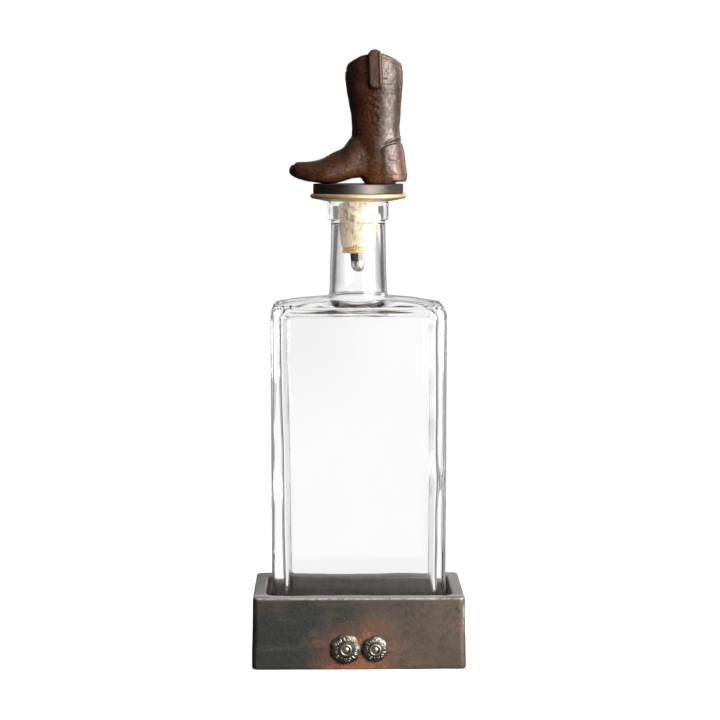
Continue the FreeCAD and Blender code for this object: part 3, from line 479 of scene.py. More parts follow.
def round_ring(radius, z):
    """A level circle."""
    return lambda turn: Vector((radius * math.cos(turn), radius * math.sin(turn), z))


def arch(x):
    """Height of the shoulder above its foot, falling away from the neck."""
    return SHOULDER_RISE * (1 - (x / HALF_WIDTH) ** 2)


def shoulder_edge(bend):
    """A ring of the shoulder's rounded edge, from the sides at 0 to the top at a quarter turn."""
    inset = SHOULDER_ROUND * (1 - math.cos(bend))

    def place(turn):
        x, y = rounded(turn, HALF_WIDTH - inset, HALF_DEPTH - inset,
                       max(BODY_CORNER - inset, 0.3 * MM))
        rise = arch(x) * math.sin(bend)
        return Vector((x, y, SIDES_TOP - SHOULDER_ROUND * (1 - math.sin(bend)) + rise))
    return place


def shoulder_top(share):
    """A ring of the shoulder, part of the way from its edge to the neck's flare."""
    def place(turn):
        x, y = rounded(turn, HALF_WIDTH - SHOULDER_ROUND, HALF_DEPTH - SHOULDER_ROUND, 0.6 * MM)
        wide = NECK_RADIUS + NECK_FLARE
        x += (wide * math.cos(turn) - x) * share
        y += (wide * math.sin(turn) - y) * share
        return Vector((x, y, SIDES_TOP + arch(x)))
    return place


def neck_flare(bend):
    """A ring of the curve that leads from the shoulder up into the neck."""
    def place(turn):
        wide = NECK_RADIUS + NECK_FLARE * (1 - math.sin(bend))
        x, y = wide * math.cos(turn), wide * math.sin(turn)
        return Vector((x, y, SIDES_TOP + arch(x) * math.cos(bend) ** 2
                       + arch(0) * math.sin(bend) ** 2 + NECK_FLARE * (1 - math.cos(bend))))
    return place


def ceiling_ring(share):
    """A ring of the hollow's ceiling, part of the way from the throat to its edge."""
    def place(turn):
        x, y = rounded(turn, INNER_WIDTH - CEILING_ROUND, INNER_DEPTH - CEILING_ROUND,
                       INNER_CORNER - CEILING_ROUND)
        wide = THROAT_RADIUS + THROAT_ROUND
        x0, y0 = wide * math.cos(turn), wide * math.sin(turn)
        x, y = x0 + (x - x0) * share, y0 + (y - y0) * share
        return Vector((x, y, INNER_CEILING + 0.5 * (arch(x) - arch(HALF_WIDTH / 2))))
    return place


def spaced(count):
    """Shares from 1/count to 1."""
    return [k / count for k in range(1, count + 1)]


foot = glass_low.z
places = [box_ring(2 * MM, 1 * MM, 0.5 * MM, foot), box_ring(20 * MM, 9 * MM, 2 * MM, foot)]
for k in range(6):
    bend = k / 5 * math.pi / 2
    inset = BASE_ROUND * (1 - math.sin(bend))
    places.append(box_ring(HALF_WIDTH - inset, HALF_DEPTH - inset, BODY_CORNER - inset,
                           foot + BASE_ROUND * (1 - math.cos(bend))))
side_foot, side_top = foot + BASE_ROUND, SIDES_TOP - SHOULDER_ROUND
places += [box_ring(HALF_WIDTH, HALF_DEPTH, BODY_CORNER, side_foot + (side_top - side_foot) * s)
           for s in spaced(SIDE_RINGS)]
places += [shoulder_edge(s * math.pi / 2) for s in spaced(6)]
places += [shoulder_top(s) for s in spaced(9)]
places += [neck_flare(s * math.pi / 2) for s in spaced(6)]
neck_foot = SIDES_TOP + SHOULDER_RISE + NECK_FLARE
places += [round_ring(NECK_RADIUS + (NECK_TOP_RADIUS - NECK_RADIUS) * s ** 0.7,
                      neck_foot + (LIP_BOTTOM - neck_foot) * s) for s in spaced(14)]
places += [round_ring(LIP_RADIUS - LIP_EDGE * (1 - math.sin(b)), LIP_BOTTOM + LIP_EDGE * (1 - math.cos(b)))
           for b in (0.3, 0.7, 1.15, math.pi / 2)]
places += [round_ring(LIP_RADIUS, LIP_BOTTOM + (glass_high.z - LIP_BOTTOM) / 2)]
places += [round_ring(LIP_RADIUS - LIP_EDGE * (1 - math.cos(b)), glass_high.z - LIP_EDGE * (1 - math.sin(b)))
           for b in (0, 0.4, 0.8, 1.2, math.pi / 2)]
bore_top = glass_high.z - MOUTH_CHAMFER
places += [round_ring(BORE_RADIUS + MOUTH_CHAMFER, glass_high.z), round_ring(BORE_RADIUS, bore_top)]
places += [round_ring(BORE_RADIUS, bore_top + (BORE_END - bore_top) * s) for s in spaced(4)]
throat_top = INNER_CEILING + SHOULDER_RISE * 0.12 + THROAT_ROUND
places += [round_ring(BORE_RADIUS + (THROAT_RADIUS - BORE_RADIUS) * s ** 0.8,
                      BORE_END + (throat_top - BORE_END) * s) for s in spaced(12)]
places += [round_ring(THROAT_RADIUS + THROAT_ROUND * (1 - math.cos(s * math.pi / 2)),
                      throat_top - THROAT_ROUND * math.sin(s * math.pi / 2)) for s in spaced(5)]
places += [ceiling_ring(s) for s in spaced(8)]
for s in spaced(5):
    inset = CEILING_ROUND * (1 - math.sin(s * math.pi / 2))
    drop = CEILING_ROUND * (1 - math.cos(s * math.pi / 2))
    places.append(box_ring(INNER_WIDTH - inset, INNER_DEPTH - inset, INNER_CORNER - inset,
                           INNER_CEILING - CEILING_DROP - drop))
wall_top, wall_foot = INNER_CEILING - CEILING_DROP - CEILING_ROUND, INNER_FLOOR + FLOOR_ROUND
places += [box_ring(INNER_WIDTH, INNER_DEPTH, INNER_CORNER, wall_top + (wall_foot - wall_top) * s)
           for s in spaced(WALL_RINGS)]
for s in spaced(6):
    inset = FLOOR_ROUND * (1 - math.cos(s * math.pi / 2))
    places.append(box_ring(INNER_WIDTH - inset, INNER_DEPTH - inset, INNER_CORNER - inset,
                           wall_foot - FLOOR_ROUND * math.sin(s * math.pi / 2)))
places += [box_ring(20 * MM, 7 * MM, 2 * MM, INNER_FLOOR), box_ring(2 * MM, 1 * MM, 0.5 * MM, INNER_FLOOR)]
bm = bmesh.new()
rings(bm, BOTTLE_TURNS, places)
bmesh.ops.recalc_face_normals(bm, faces=bm.faces)
bm.normal_update()
for v in bm.verts:
    # the hollow's walls wander; the mould keeps the outside nearly true
    inside = max(abs(v.co.x) - INNER_WIDTH, abs(v.co.y) - INNER_DEPTH) < INNER_MARGIN
    beside_throat = math.hypot(v.co.x, v.co.y) > THROAT_RADIUS + THROAT_ROUND + 0.5 * MM
    if inside and throat_top > v.co.z > wall_top and beside_throat:
        v.co.z += 0.4 * lumps(v.co, 15 * MM, 21) * MM
    along = min(1, max(0, (v.co.z - foot - 3 * MM) / SWAY_FADE))
    along *= min(1, max(0, (SIDES_TOP - v.co.z) / SWAY_FADE))
    if along > 0:
        point = Vector((v.co.x * 0.35, v.co.y * 0.35, v.co.z))
        if inside:
            sway = 0.75 * lumps(point, 24 * MM, 5) + 0.1 * lumps(point, 12 * MM, 6)
            # the left wall is thicker towards the foot
            v.co.x += 2.6 * MM * along * max(0, -v.co.x / INNER_WIDTH) * (1 - v.co.z / SIDES_TOP)
        else:
            sway = 0.08 * lumps(point, 50 * MM, 5)
        v.co += v.normal * sway * along * MM

clear_glass, tree, shader = finish("clear_glass")
haze = near_to(tree, (-30 * MM, 0, 176 * MM), 48 * MM, (1, 0.3, 0.8))
haze = sums(tree, "ADD", haze, both(tree, grain(tree, 40 * MM, 2, 0.5), 0.35))
# painted shade: the glass greys where it is seen edge on, most in the neck, standing in for the dark lines
# its edges and bore draw
edge = add(tree, "LayerWeight", {"Blend": 0.5}).outputs["Facing"]
neck = both(tree, between(tree, axis(tree, "Z"), 192 * MM, 200 * MM),
            between(tree, axis(tree, "Z"), 233 * MM, 230 * MM))
edge = sums(tree, "POWER", edge, sums(tree, "SUBTRACT", 3.0, both(tree, neck, 1.8)))
tilt = add(tree, "SeparateXYZ", {0: add(tree, "NewGeometry").outputs["Normal"]}).outputs["Z"]
edge = both(tree, edge, between(tree, size_of(tree, tilt), 0.1, 0.4, 1, 0.05))
# the mould left the shoulders a little less polished than the sides
pressed = both(tree, between(tree, axis(tree, "Z"), 181 * MM, 186 * MM),
               between(tree, axis(tree, "Z"), 199 * MM, 195 * MM))
throat = near_to(tree, (0, 0, 189 * MM), 26 * MM, (1, 1, 2.5))
pressed = both(tree, pressed, between(tree, throat, 0, 0.6, 0.08, 0.3))
set_shader(tree, shader, Base_Color=tint(tree, edge, tint(tree, haze, CLEAR, SMOKY), EDGE_SHADE_GREY),
           Roughness=pressed, IOR=1.5, Transmission_Weight=1.0)
piece(bm, "bottle_glass", "decanter", clear_glass, "bottle")


# ---------------------------------------------------------------- the cork
# A turned natural cork, straight at the top where the bore grips it and tapered below.
# The threaded stud runs down through it and squeezes it between the flange and two washers.

cork_low, cork_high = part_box("cork")
CORK_TURNS = 150
CORK_RADIUS, CORK_END, STUD_HOLE = 10.45 * MM, 8.7 * MM, 2.6 * MM
TAPER_TOP, TAPER_STEP, TAPER_DROP, CORK_CHAMFER = 230.7 * MM, 0.25 * MM, 0.2 * MM, 0.4 * MM
CORK_PALE, CORK_TAN = (0.88, 0.75, 0.56), (0.72, 0.55, 0.36)
CELL_BROWN, FLAW_BROWN = (0.42, 0.27, 0.15), (0.27, 0.14, 0.06)
bm = bmesh.new()
shape = [(STUD_HOLE, cork_high.z), (CORK_RADIUS - 0.5 * MM, cork_high.z)]
for s in spaced(30):
    shape.append((CORK_RADIUS - (0.12 * MM if s < 0.05 else 0), cork_high.z + (TAPER_TOP - cork_high.z) * s))
for s in spaced(34):
    shape.append((CORK_RADIUS - TAPER_STEP + (CORK_END - CORK_RADIUS + TAPER_STEP) * s,
                  TAPER_TOP - TAPER_DROP + (cork_low.z + CORK_CHAMFER - TAPER_TOP + TAPER_DROP) * s))
shape += [(CORK_END - CORK_CHAMFER, cork_low.z), (STUD_HOLE, cork_low.z)]
chain = [bm.verts.new((r, 0, z)) for r, z in shape]
edges = [bm.edges.new(pair) for pair in zip(chain, chain[1:] + chain[:1])]
bmesh.ops.spin(bm, geom=chain + edges, cent=(0, 0, 0), axis=(0, 0, 1), dvec=(0, 0, 0),
               angle=2 * math.pi, steps=CORK_TURNS, use_merge=True, use_duplicate=False)
bmesh.ops.remove_doubles(bm, verts=bm.verts, dist=1e-7)
bmesh.ops.recalc_face_normals(bm, faces=bm.faces)
bm.normal_update()
for v in bm.verts:
    if math.hypot(v.co.x, v.co.y) > 5 * MM:
        streak = Vector((v.co.x, v.co.y, v.co.z * 0.4))
        hole = max(0, lumps(streak, 1.6 * MM, 8) - 0.28) * 1.5
        hole += max(0, lumps(streak, 3.5 * MM, 9) - 0.42) * 1.6
        v.co -= v.normal * min(hole, 0.9) * MM
cork_bark, tree, shader = finish("natural_cork")
cell = grain(tree, 0.55 * MM, 3, 0.6)
streak = grain(tree, 3 * MM, 5, 0.6, stretch=(1, 1, 0.35))
worn_side = near_to(tree, (-6 * MM, -8 * MM, 238 * MM), 9 * MM)
flaw = sums(tree, "ADD", grain(tree, 2.0 * MM, 6, 0.66, stretch=(1, 1, 0.45), start=(0.4, 0, 0)),
            both(tree, worn_side, 0.07))
flaw = between(tree, flaw, 0.56, 0.68)
colour = tint(tree, between(tree, streak, 0.3, 0.7), CORK_PALE, CORK_TAN)
colour = tint(tree, between(tree, cell, 0.5, 0.8, 0, 0.4), colour, CELL_BROWN)
colour = tint(tree, both(tree, flaw, 0.7), colour, FLAW_BROWN)
set_shader(tree, shader, Base_Color=colour, Roughness=0.85,
           Normal=relief(tree, cell, 0.15 * MM, 0.6, relief(tree, flaw, -0.5 * MM)))
piece(bm, "turned_cork", "stopper", cork_bark, "cork")


# ---------------------------------------------------------------- what holds the cork
# The brass flange above it, two brass washers and the dome nut below, and the zinced stud
# through its middle. All are turned parts: the CAD shapes stay and only take their finishes.

NUT_FLATS, NUT_NECK = 4.6 * MM, 3.8 * MM
BRASS_YELLOW, BRASS_TAN = (1.0, 0.78, 0.44), (0.9, 0.66, 0.34)
BRASS_GRIME, BRASS_PAINTED_SHADE = (0.36, 0.21, 0.08), (0.4, 0.26, 0.12)
NICKEL_BRIGHT, NICKEL_DULL, NUT_HEX_SHADE = (0.62, 0.59, 0.54), (0.42, 0.4, 0.36), (0.1, 0.09, 0.08)
ZINC_BRIGHT, ZINC_DULL = (0.5, 0.5, 0.5), (0.36, 0.36, 0.37)
brass, tree, shader = finish("satin_brass")
turned = grain(tree, 1.2 * MM, 4, 0.6, stretch=(0.12, 0.12, 3))
stain = grain(tree, 7 * MM, 4, 0.6)
metal = tint(tree, between(tree, stain, 0.35, 0.7), BRASS_YELLOW, BRASS_TAN)
metal = tint(tree, between(tree, turned, 0.5, 0.75, 0, 0.4), metal, BRASS_GRIME)
# painted shade: the brass is darkened towards its right-hand end, dimming the highlight there
metal = tint(tree, between(tree, axis(tree, "X"), 13 * MM, 21 * MM, 0, 0.6), metal, BRASS_PAINTED_SHADE)
set_shader(tree, shader, Base_Color=metal, Metallic=0.9,
           Roughness=between(tree, turned, 0.25, 0.75, 0.5, 0.66),
           Normal=relief(tree, turned, 0.04 * MM, 0.5))
for node in ("brass_flange", "upper_cork_washer", "lower_cork_washer"):
    refinish(node, brass)

nickel, tree, shader = finish("polished_nickel")
smear = grain(tree, 1.5 * MM, 3, 0.6)
metal = tint(tree, between(tree, smear, 0.4, 0.7), NICKEL_BRIGHT, NICKEL_DULL)
nut_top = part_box("acorn_nut")[1].z
# painted shade: the hexagon is darkened as if its flats stood in shade
on_hexagon = between(tree, axis(tree, "Z"), nut_top - NUT_FLATS, nut_top - NUT_NECK)
metal = tint(tree, on_hexagon, metal, NUT_HEX_SHADE)
set_shader(tree, shader, Base_Color=metal, Metallic=1.0,
           Roughness=between(tree, smear, 0.3, 0.7, 0.12, 0.26),
           Normal=relief(tree, smear, 0.03 * MM, 0.4))
refinish("acorn_nut", nickel)

bright_steel, tree, shader = finish("zinced_steel")
smear = grain(tree, 0.9 * MM, 4, 0.6)
metal = tint(tree, between(tree, smear, 0.4, 0.7), ZINC_BRIGHT, ZINC_DULL)
set_shader(tree, shader, Base_Color=metal, Metallic=1.0,
           Roughness=between(tree, smear, 0.3, 0.7, 0.25, 0.4),
           Normal=relief(tree, smear, 0.03 * MM, 0.4))
for node in ("threaded_stud", "boot_screws"):
    refinish(node, bright_steel)


# ---------------------------------------------------------------- the steel plate
# A turned steel disc on the brass flange; the boot is screwed to it from below.
# Its edge is brushed round and has darkened unevenly; a painted highlight lies on its front and painted
# shade towards its right.

STEEL_GREY, STEEL_RUST, STEEL_PAINTED_HIGHLIGHT = (0.1, 0.095, 0.09), (0.1, 0.055, 0.035), (0.27, 0.26, 0.24)
STEEL_PAINTED_SHADE, BRUSH_MARK = (0.035, 0.028, 0.024), (0.26, 0.24, 0.22)
plate_steel, tree, shader = finish("brushed_dark_steel")
brushed = grain(tree, 0.6 * MM, 5, 0.7, stretch=(0.1, 0.1, 1.6))
cloud = grain(tree, 9 * MM, 4, 0.6, start=(0.1, 0, 0))
metal = tint(tree, between(tree, cloud, 0.4, 0.62), STEEL_GREY, STEEL_RUST)
# painted highlight: a lighter patch on the plate's front
plate_highlight = near_to(tree, (0, -23.5 * MM, 249 * MM), 11 * MM)
metal = tint(tree, both(tree, plate_highlight, 0.8), metal, STEEL_PAINTED_HIGHLIGHT)
# painted shade: a darker patch towards the plate's right
plate_shade = near_to(tree, (15 * MM, -18 * MM, 249 * MM), 13 * MM)
metal = tint(tree, both(tree, plate_shade, 0.85), metal, STEEL_PAINTED_SHADE)
metal = tint(tree, between(tree, brushed, 0.45, 0.75, 0, 0.4), metal, BRUSH_MARK)
set_shader(tree, shader, Base_Color=metal, Metallic=0.9,
           Roughness=between(tree, brushed, 0.25, 0.75, 0.36, 0.54),
           Normal=relief(tree, brushed, 0.06 * MM, 0.7))
refinish("top_plate", plate_steel)


# ---------------------------------------------------------------- the boot
# A small western boot cast in iron in one piece, rusted, wire-brushed and oiled.
# Two screws hold it to the plate by the ball of its foot and by its heel.

boot_low, boot_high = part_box("boot")
HEEL = boot_low.z
BOOT_VOXEL, BOOT_SMOOTHING = 0.42 * MM, 6
SHAFT_TURNS = 72
FOOT_TOP_POWER, FOOT_SOLE_POWER, FOOT_WIDEST = 2.0, 3.2, 0.38
STRAP_SIZE = (6.6 * MM, 3.6 * MM, 20.0 * MM)
STRAP_CORNER, STRAP_EDGE = 2.9 * MM, 0.7 * MM
STRAP_X, STRAP_OUT, STRAP_UP = 8.5, 10.75, 58.7
STRAP_LEAN, STRAP_SLOPE, STRAP_SPREAD = math.radians(-2.0), 0.035, math.radians(1.5)
IRON_BLACK, IRON_BROWN, BARE_IRON_HIGHLIGHT = (0.02, 0.0085, 0.004), (0.044, 0.015, 0.0055), (0.16, 0.145, 0.125)
BOOT_RUST, BOOT_ORANGE, BACK_RUST_AND_LIGHT = (0.1, 0.026, 0.008), (0.3, 0.1, 0.035), (0.12, 0.055, 0.035)
FOOT_DARK, STRAP_BROWN, TOE_BLACK = (0.026, 0.009, 0.004), (0.075, 0.045, 0.028), (0.014, 0.011, 0.01)


def oval(centre, half_x, half_y, height, power=2.0, tilt=0.0):
    """A level oval ring of the shaft; tilt lifts its middle above its front and back."""
    def place(turn):
        c, s = math.cos(turn), math.sin(turn)
        x = half_x * math.copysign(abs(c) ** (2 / power), c)
        y = half_y * math.copysign(abs(s) ** (2 / power), s)
        z = height - tilt * (x / half_x) ** 2
        return Vector((centre + x, y, z)) * MM + Vector((0, 0, HEEL))
    return place


def foot_ring(x, low, high, half):
    """An upright ring of the foot, flatter below than above."""
    def place(turn):
        c, s = math.cos(turn), math.sin(turn)
        power = FOOT_TOP_POWER if s > 0 else FOOT_SOLE_POWER
        widest = low + (high - low) * FOOT_WIDEST
        tall = high - widest if s > 0 else widest - low
        y = half * math.copysign(abs(c) ** (2 / power), c)
        z = widest + tall * math.copysign(abs(s) ** (2 / power), s)
        return Vector((x, y, z)) * MM + Vector((0, 0, HEEL))
    return place


bm = bmesh.new()
rings(bm, SHAFT_TURNS, [
    oval(14.7, 10.0, 8.4, 1.4, 2.6), oval(11.6, 13.8, 9.0, 4.6, 2.3), oval(10.4, 14.3, 9.3, 8, 2.3),
    oval(9.9, 14.5, 9.4, 11, 2.2), oval(9.4, 14.2, 9.2, 17, 2.1), oval(9.1, 13.2, 8.9, 22),
    oval(9.2, 12.6, 8.8, 25.2), oval(9.15, 12.45, 8.85, 29.5), oval(9.15, 12.9, 9.3, 36),
    oval(8.75, 13.65, 10.1, 42), oval(8.4, 14.55, 11.0, 48.5), oval(8.2, 15.0, 11.5, 54),
    oval(8.2, 14.95, 11.5, 58, 2, 0.6), oval(8.4, 14.3, 11.2, 62.6, 2, 2.0),
    oval(8.6, 13.8, 11.0, 65.6, 2, 3.6), oval(8.6, 13.4, 10.6, 66.9, 2, 4.6),
    oval(8.6, 12.6, 9.8, 67.2, 2, 4.9), oval(8.6, 11.6, 8.8, 66.8, 2, 4.6),
    oval(8.6, 11.2, 8.4, 65, 2, 3.6), oval(8.6, 11.2, 8.4, 62, 2, 1.5), oval(8.5, 11, 8.2, 58.4)])
rings(bm, SHAFT_TURNS, [
    foot_ring(17, 6, 22, 6), foot_ring(12, 3, 25, 8.4), foot_ring(4, 3.2, 27, 9.0),
    foot_ring(0, 3.2, 26.6, 9.3), foot_ring(-3, 2.6, 25.0, 9.6), foot_ring(-5.2, 2.0, 22.4, 9.8),
    foot_ring(-7.6, 1.3, 19.0, 10.0), foot_ring(-9.6, 0.7, 17.6, 10.2), foot_ring(-11.9, 0.2, 16.7, 10.4),
    foot_ring(-14.0, 0.0, 15.7, 10.6), foot_ring(-16.1, 0.0, 14.6, 10.7), foot_ring(-18.2, 0.0, 13.4, 10.7),
    foot_ring(-20.4, 0.35, 12.5, 10.5), foot_ring(-23.1, 0.75, 11.9, 9.9), foot_ring(-25.7, 1.1, 11.6, 9.0),
    foot_ring(-28.4, 1.7, 11.5, 7.7), foot_ring(-31, 2.4, 11.4, 6.2), foot_ring(-33, 3.2, 10.9, 4.9),
    foot_ring(-34.6, 4.2, 9.8, 3.5), foot_ring(-35.6, 5.2, 8.6, 2.2), foot_ring(-36.0, 6.0, 7.4, 1.0)])
rings(bm, SHAFT_TURNS, [
    oval(11.2, 7.6, 8.0, 0.0, 3), oval(11.1, 7.9, 8.3, 0.6, 3), oval(11.4, 9.2, 8.5, 1.8, 3),
    oval(11.8, 10.2, 8.7, 3.2, 2.8), oval(11.2, 11.5, 8.8, 5.5, 2.6)])

def new_strap(bm):
    """The vertices of the strap that is being made round the origin, well below the boot."""
    return [v for v in bm.verts if abs(v.co.z) < 10.1 * MM and abs(v.co.y) < 1.9 * MM]


for side in (-1, 1):
    # a pull strap, folded over the rim and sewn down the shaft's side
    strap = bmesh.ops.create_cube(bm, size=1.0)["verts"]
    bmesh.ops.scale(bm, vec=STRAP_SIZE, verts=strap)
    edges = list({e for v in strap for e in v.link_edges})
    round_over(bm, [e for e in edges if abs(e.verts[0].co.y - e.verts[1].co.y) > 3 * MM],
               STRAP_CORNER, 6)
    front = list({e for v in new_strap(bm) for e in v.link_edges
                  if all(w.co.y * side > 1.7 * MM for w in e.verts)})
    round_over(bm, front, STRAP_EDGE, 3)
    strap = new_strap(bm)
    turn = Matrix.Rotation(STRAP_LEAN, 3, "Y") @ Matrix.Rotation(STRAP_SPREAD * side, 3, "X")
    bmesh.ops.rotate(bm, cent=(0, 0, 0), matrix=turn, verts=strap)
    bmesh.ops.translate(bm, vec=(STRAP_X * MM, side * STRAP_OUT * MM, HEEL + STRAP_UP * MM), verts=strap)

raw = bpy.data.meshes.new("boot_parts")
bmesh.ops.recalc_face_normals(bm, faces=bm.faces)
bm.to_mesh(raw)
bm.free()
cast = bpy.data.objects.new("boot_parts", raw)
bpy.context.scene.collection.objects.link(cast)
remesh = cast.modifiers.new("fuse", "REMESH")
remesh.mode, remesh.voxel_size = "VOXEL", BOOT_VOXEL
fused = bpy.data.meshes.new_from_object(cast.evaluated_get(bpy.context.evaluated_depsgraph_get()))
bpy.data.objects.remove(cast)
bm = bmesh.new()
bm.from_mesh(fused)
for _ in range(BOOT_SMOOTHING):
    bmesh.ops.smooth_vert(bm, verts=bm.verts, factor=0.5, use_axis_x=True, use_axis_y=True, use_axis_z=True)
bm.normal_update()


def groove(distance, width):
    """Depth from 0 to 1 across a groove of that width."""
    return max(0.0, 1 - (distance / width) ** 2)


def boot_relief(x, y, z):
    """How far the casting stands proud at a place, in millimetres from its heel and axis."""
    proud = 0.0
    # the heel counter: a patch with a curved top edge and a short seam across it
    patch_top = 20.6 - 0.03 * (x - 19) ** 2 + 0.12 * (x - 19)
    on_patch = fade(x, 11.5, 14.0)
    proud += 0.4 * on_patch * fade(z, patch_top + 0.45, patch_top - 0.25)
    proud -= 0.3 * on_patch * groove(z - patch_top - 0.75, 0.7)
    proud += 0.35 * on_patch * groove(z - patch_top - 2.6 - 0.2 * (x - 19), 0.8) * fade(x, 13.5, 15)
    proud -= 0.35 * groove(z - 11.7 - 0.06 * (x - 18) ** 2, 0.5) * fade(x, 14.5, 16) * fade(x, 21.5, 20)
    proud -= 0.22 * groove(z - 10.4, 0.4) * fade(x, 15, 16.5) * fade(x, 21, 19.5)
    # the welt where the sole meets the foot, and the worn tip of the toe
    welt = 2.4 + (0.02 * (x + 14) ** 2 if x < -14 else 0.0) + 2.0 * fade(x, -6, 2)
    proud -= 0.16 * groove(z - welt, 0.6) * (0.6 + 0.4 * math.sin(x * 1.7))
    proud -= 0.5 * groove(x + 34.2 - 0.1 * (z - 8) ** 2, 0.7) * fade(z, 4, 6) * fade(x, -28, -30)
    # the ridge along each strap's back edge, the dent in front of it and the rim's binding
    on_strap = fade(z, 47.5, 50) * fade(abs(y), 8, 10)
    lean = x - STRAP_X + (z - STRAP_UP) * STRAP_SLOPE
    proud += 0.55 * groove(lean - 2.55, 0.75) * on_strap * fade(z, 68.5, 66)
    proud -= 0.5 * on_strap * fade(lean, -9.5, -4.2) * fade(lean, -3.1, -3.7)
    proud -= 0.25 * groove(z - 64.4 + 5.2 * ((x - 8.6) / 14) ** 2, 0.5) * (1 - fade(abs(lean), 4.4, 3.4))
    return proud


for v in bm.verts:
    x, y, z = v.co.x / MM, v.co.y / MM, (v.co.z - HEEL) / MM
    rough = 0.13 * lumps(v.co, 5.5 * MM, 11) + 0.06 * lumps(v.co, 2.2 * MM, 12)
    scab = max(0, 1 - math.hypot(x - 7, (z - 38) * 0.55) / 7)
    scab = max(scab, 1.2 * max(0, 1 - math.hypot(x - 14.5, (z - 55) * 0.35) / 3.6))
    rough += (0.03 + 0.3 * scab) * lumps(v.co, 1.4 * MM, 13)
    rough -= 0.35 * max(0, lumps(v.co, 1.7 * MM, 17) - 0.5)
    v.co += v.normal * (boot_relief(x, y, z) + rough) * MM
    v.co.z = min(max(v.co.z, HEEL), boot_high.z)
bmesh.ops.recalc_face_normals(bm, faces=bm.faces)

boot_iron, tree, shader = finish("rusted_boot_iron")
cloud = grain(tree, 8 * MM, 5, 0.62)
fleck = grain(tree, 1.6 * MM, 6, 0.68, start=(0.7, 0.2, 0.1))
fine = grain(tree, 0.45 * MM, 4, 0.65)
low_down = between(tree, axis(tree, "Z"), HEEL + 2 * MM, HEEL + 20 * MM, 1, 0)
skin = tint(tree, between(tree, cloud, 0.35, 0.65), IRON_BLACK, IRON_BROWN)
rusty = between(tree, sums(tree, "ADD", both(tree, low_down, 0.08), fleck), 0.5, 0.72)
skin = tint(tree, both(tree, rusty, 0.85), skin, BOOT_RUST)
orange = between(tree, sums(tree, "ADD", both(tree, low_down, 0.07), fine), 0.57, 0.68)
skin = tint(tree, both(tree, orange, 0.6), skin, BOOT_ORANGE)

# worn to bare iron along the shaft and heel, lightened there as a painted highlight; browner and lighter
# down the back edge, rust with painted light
worn_and_highlight = both(tree, between(tree, axis(tree, "X"), 10 * MM, 15 * MM),
            between(tree, axis(tree, "X"), 23 * MM, 19 * MM),
            between(tree, cloud, 0.36, 0.6, 0.35, 1), between(tree, fleck, 0.62, 0.42, 0.1, 0.85))
skin = tint(tree, both(tree, worn_and_highlight, 0.7), skin, BARE_IRON_HIGHLIGHT)
# rust and painted light: the back edge is lightened where the light from the right would catch it
back_edge_rust_and_light = both(tree, between(tree, axis(tree, "X"), 20.5 * MM, 23 * MM),
                 between(tree, fleck, 0.35, 0.55, 0.3, 0.9))
skin = tint(tree, both(tree, back_edge_rust_and_light, 0.8), skin, BACK_RUST_AND_LIGHT)

# the foot is darker, the straps browner, and the toe's tip nearly black
on_foot = between(tree, axis(tree, "X"), 0, -12 * MM, 0, 0.4)
skin = tint(tree, on_foot, skin, FOOT_DARK)
on_strap = both(tree, between(tree, axis(tree, "X"), 4.6 * MM, 5.4 * MM),
                between(tree, axis(tree, "X"), 12.2 * MM, 11.2 * MM),
                between(tree, axis(tree, "Z"), HEEL + 49 * MM, HEEL + 51 * MM, 0, 0.75))
skin = tint(tree, on_strap, skin, STRAP_BROWN)
on_toe = between(tree, axis(tree, "X"), -30 * MM, -34.5 * MM)
skin = tint(tree, both(tree, on_toe, 0.9), skin, TOE_BLACK)
set_shader(tree, shader, Base_Color=skin, Metallic=between(tree, worn_and_highlight, 0, 0.8, 0.05, 0.7),
           Roughness=between(tree, sums(tree, "ADD", fleck, cloud), 0.7, 1.3, 0.22, 0.4),
           Normal=relief(tree, fine, 0.12 * MM, 0.5, relief(tree, fleck, 0.2 * MM, 0.5)),
           Specular_IOR_Level=0.42)
piece(bm, "cast_boot", "figure", boot_iron, "boot")


# ---------------------------------------------------------------- the studio
# A pale floor in an open white room, with one large soft light to the right of the camera
# and a weaker one further round on the same side.

FLOOR_RADIUS, FLOOR_DROP = 0.42, 0.2 * MM
ROOM_BRIGHTNESS, BOUNCES, GLOSSY_BOUNCES = 1.03, 24, 16
bm = bmesh.new()
bmesh.ops.create_circle(bm, cap_ends=True, segments=96, radius=FLOOR_RADIUS)
floor_mesh = bpy.data.meshes.new("floor")
bm.to_mesh(floor_mesh)
bm.free()
floor = bpy.data.objects.new("floor", floor_mesh)
floor.location.z = -FLOOR_DROP
bpy.context.scene.collection.objects.link(floor)
pale, tree, shader = finish("pale_floor")
set_shader(tree, shader, Base_Color=(0.35, 0.35, 0.35, 1), Roughness=0.9,
           Emission_Color=(1, 1, 1, 1), Emission_Strength=0.96)
floor_mesh.materials.append(pale)
floor.visible_diffuse = floor.visible_glossy = floor.visible_transmission = False

room = bpy.data.worlds.new("room")
bpy.context.scene.world = room
room.use_nodes = True
tree = room.node_tree
sky = tree.nodes["Background"]
sky.inputs["Color"].default_value = (1, 1, 1, 1)
path = add(tree, "LightPath").outputs
towards = add(tree, "SeparateXYZ", {0: add(tree, "TexCoord").outputs["Generated"]}).outputs
east, north, up = (size_of(tree, towards[k]) for k in range(3))
flat = sums(tree, "ADD", both(tree, east, east), both(tree, north, north))
aslant = sums(tree, "DIVIDE", both(tree, east, north, 2.0), flat)
level = between(tree, up, 0.26, 0.38, 1, 0)
dark_sides = both(tree, level, between(tree, aslant, 0.45, 0.9, 0, 0.8))
dark_sides = sums(tree, "ADD", dark_sides, between(tree, up, 0.2, 0.5, 0, 0.06))
bent = sums(tree, "MINIMUM", path["Glossy Depth"], 1.0)
lit = sums(tree, "MINIMUM", path["Diffuse Depth"], 1.0)
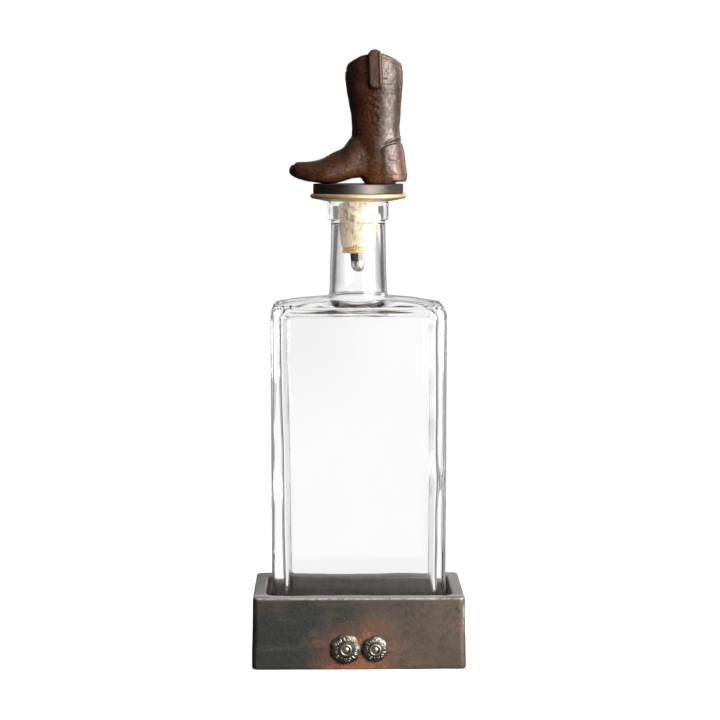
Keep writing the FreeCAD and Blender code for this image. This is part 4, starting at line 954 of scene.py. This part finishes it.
through = both(tree, sums(tree, "SUBTRACT", 1.0, both(tree, bent, dark_sides)),
               sums(tree, "SUBTRACT", 1.0, lit), path["Is Transmission Ray"])
seen = sums(tree, "MAXIMUM", path["Is Camera Ray"], through)
above = between(tree, towards["Z"], 0.3, 0.95, 0.045, 0.26)
inside_glass = both(tree, lit, path["Is Transmission Ray"],
                    between(tree, towards["X"], -0.8, 0.1, 0.75, 1.75))
behind = both(tree, lit, between(tree, towards["Y"], 0.0, 0.9, 0, 0.45))
# the white wall behind, mirrored by what faces up and is seen nearly edge on
mirrored = both(tree, path["Is Glossy Ray"], between(tree, towards["Y"], 0.8, 0.95),
                between(tree, towards["Z"], 0.0, 0.12, 0, 0.85))
room_light = sums(tree, "MAXIMUM", sums(tree, "MAXIMUM", above, behind),
                  sums(tree, "MAXIMUM", inside_glass, mirrored))
tree.links.new(sums(tree, "MAXIMUM", both(tree, seen, ROOM_BRIGHTNESS), room_light),
               sky.inputs["Strength"])
cycles = bpy.context.scene.cycles
cycles.max_bounces = cycles.transmission_bounces = BOUNCES
cycles.glossy_bounces = GLOSSY_BOUNCES


def soft_light(name, azimuth, elevation, distance, size, watts, aim):
    """A large soft light; azimuth is counted from the camera's side of the object."""
    lamp = bpy.data.lights.new(name, "AREA")
    lamp.shape, lamp.size, lamp.size_y, lamp.energy = "RECTANGLE", size[0], size[1], watts
    # it glows less and less towards its edges, like a cloth-covered box
    lamp.use_nodes = True
    tree = lamp.node_tree
    place = add(tree, "SeparateXYZ", {0: add(tree, "NewGeometry").outputs["Parametric"]}).outputs
    across, along = (size_of(tree, sums(tree, "SUBTRACT", place[side], 0.5)) for side in "XY")
    glow = both(tree, between(tree, across, 0.02, 0.5, 1, 0), between(tree, along, 0.25, 0.5, 1, 0))
    tree.links.new(glow, tree.nodes["Emission"].inputs["Strength"])
    a, e = math.radians(azimuth), math.radians(elevation)
    out = Vector((math.sin(a) * math.cos(e), -math.cos(a) * math.cos(e), math.sin(e)))
    made = bpy.data.objects.new(name, lamp)
    made.location = aim + out * distance
    made.rotation_euler = out.to_track_quat("Z", "Y").to_euler()
    bpy.context.scene.collection.objects.link(made)


middle = Vector((0, 0, 0.16))
soft_light("key_light", 48, 18, 0.95, (1.4, 1.2), 66.0, middle)
soft_light("back_light", 120, 25, 1.1, (0.7, 0.9), 10.0, middle)

# The camera stands a metre off, a little above the middle of the object.
AZIMUTH, ELEVATION, DISTANCE = math.radians(-1.0), math.radians(6.4), 0.988
FOCAL_LENGTH, SENSOR_WIDTH = 93.75, 36
aim = Vector((0.00096, 0, 0.15885))
back = Vector((math.sin(AZIMUTH) * math.cos(ELEVATION), -math.cos(AZIMUTH) * math.cos(ELEVATION),
               math.sin(ELEVATION)))
lens = bpy.data.cameras.new("camera")
lens.lens, lens.sensor_width = FOCAL_LENGTH, SENSOR_WIDTH
lens.clip_start = 0.05
camera = bpy.data.objects.new("camera", lens)
camera.location = aim + back * DISTANCE
camera.rotation_euler = back.to_track_quat("Z", "Y").to_euler()
bpy.context.scene.collection.objects.link(camera)
bpy.context.scene.camera = camera
bpy.context.scene.view_settings.view_transform = "Standard"
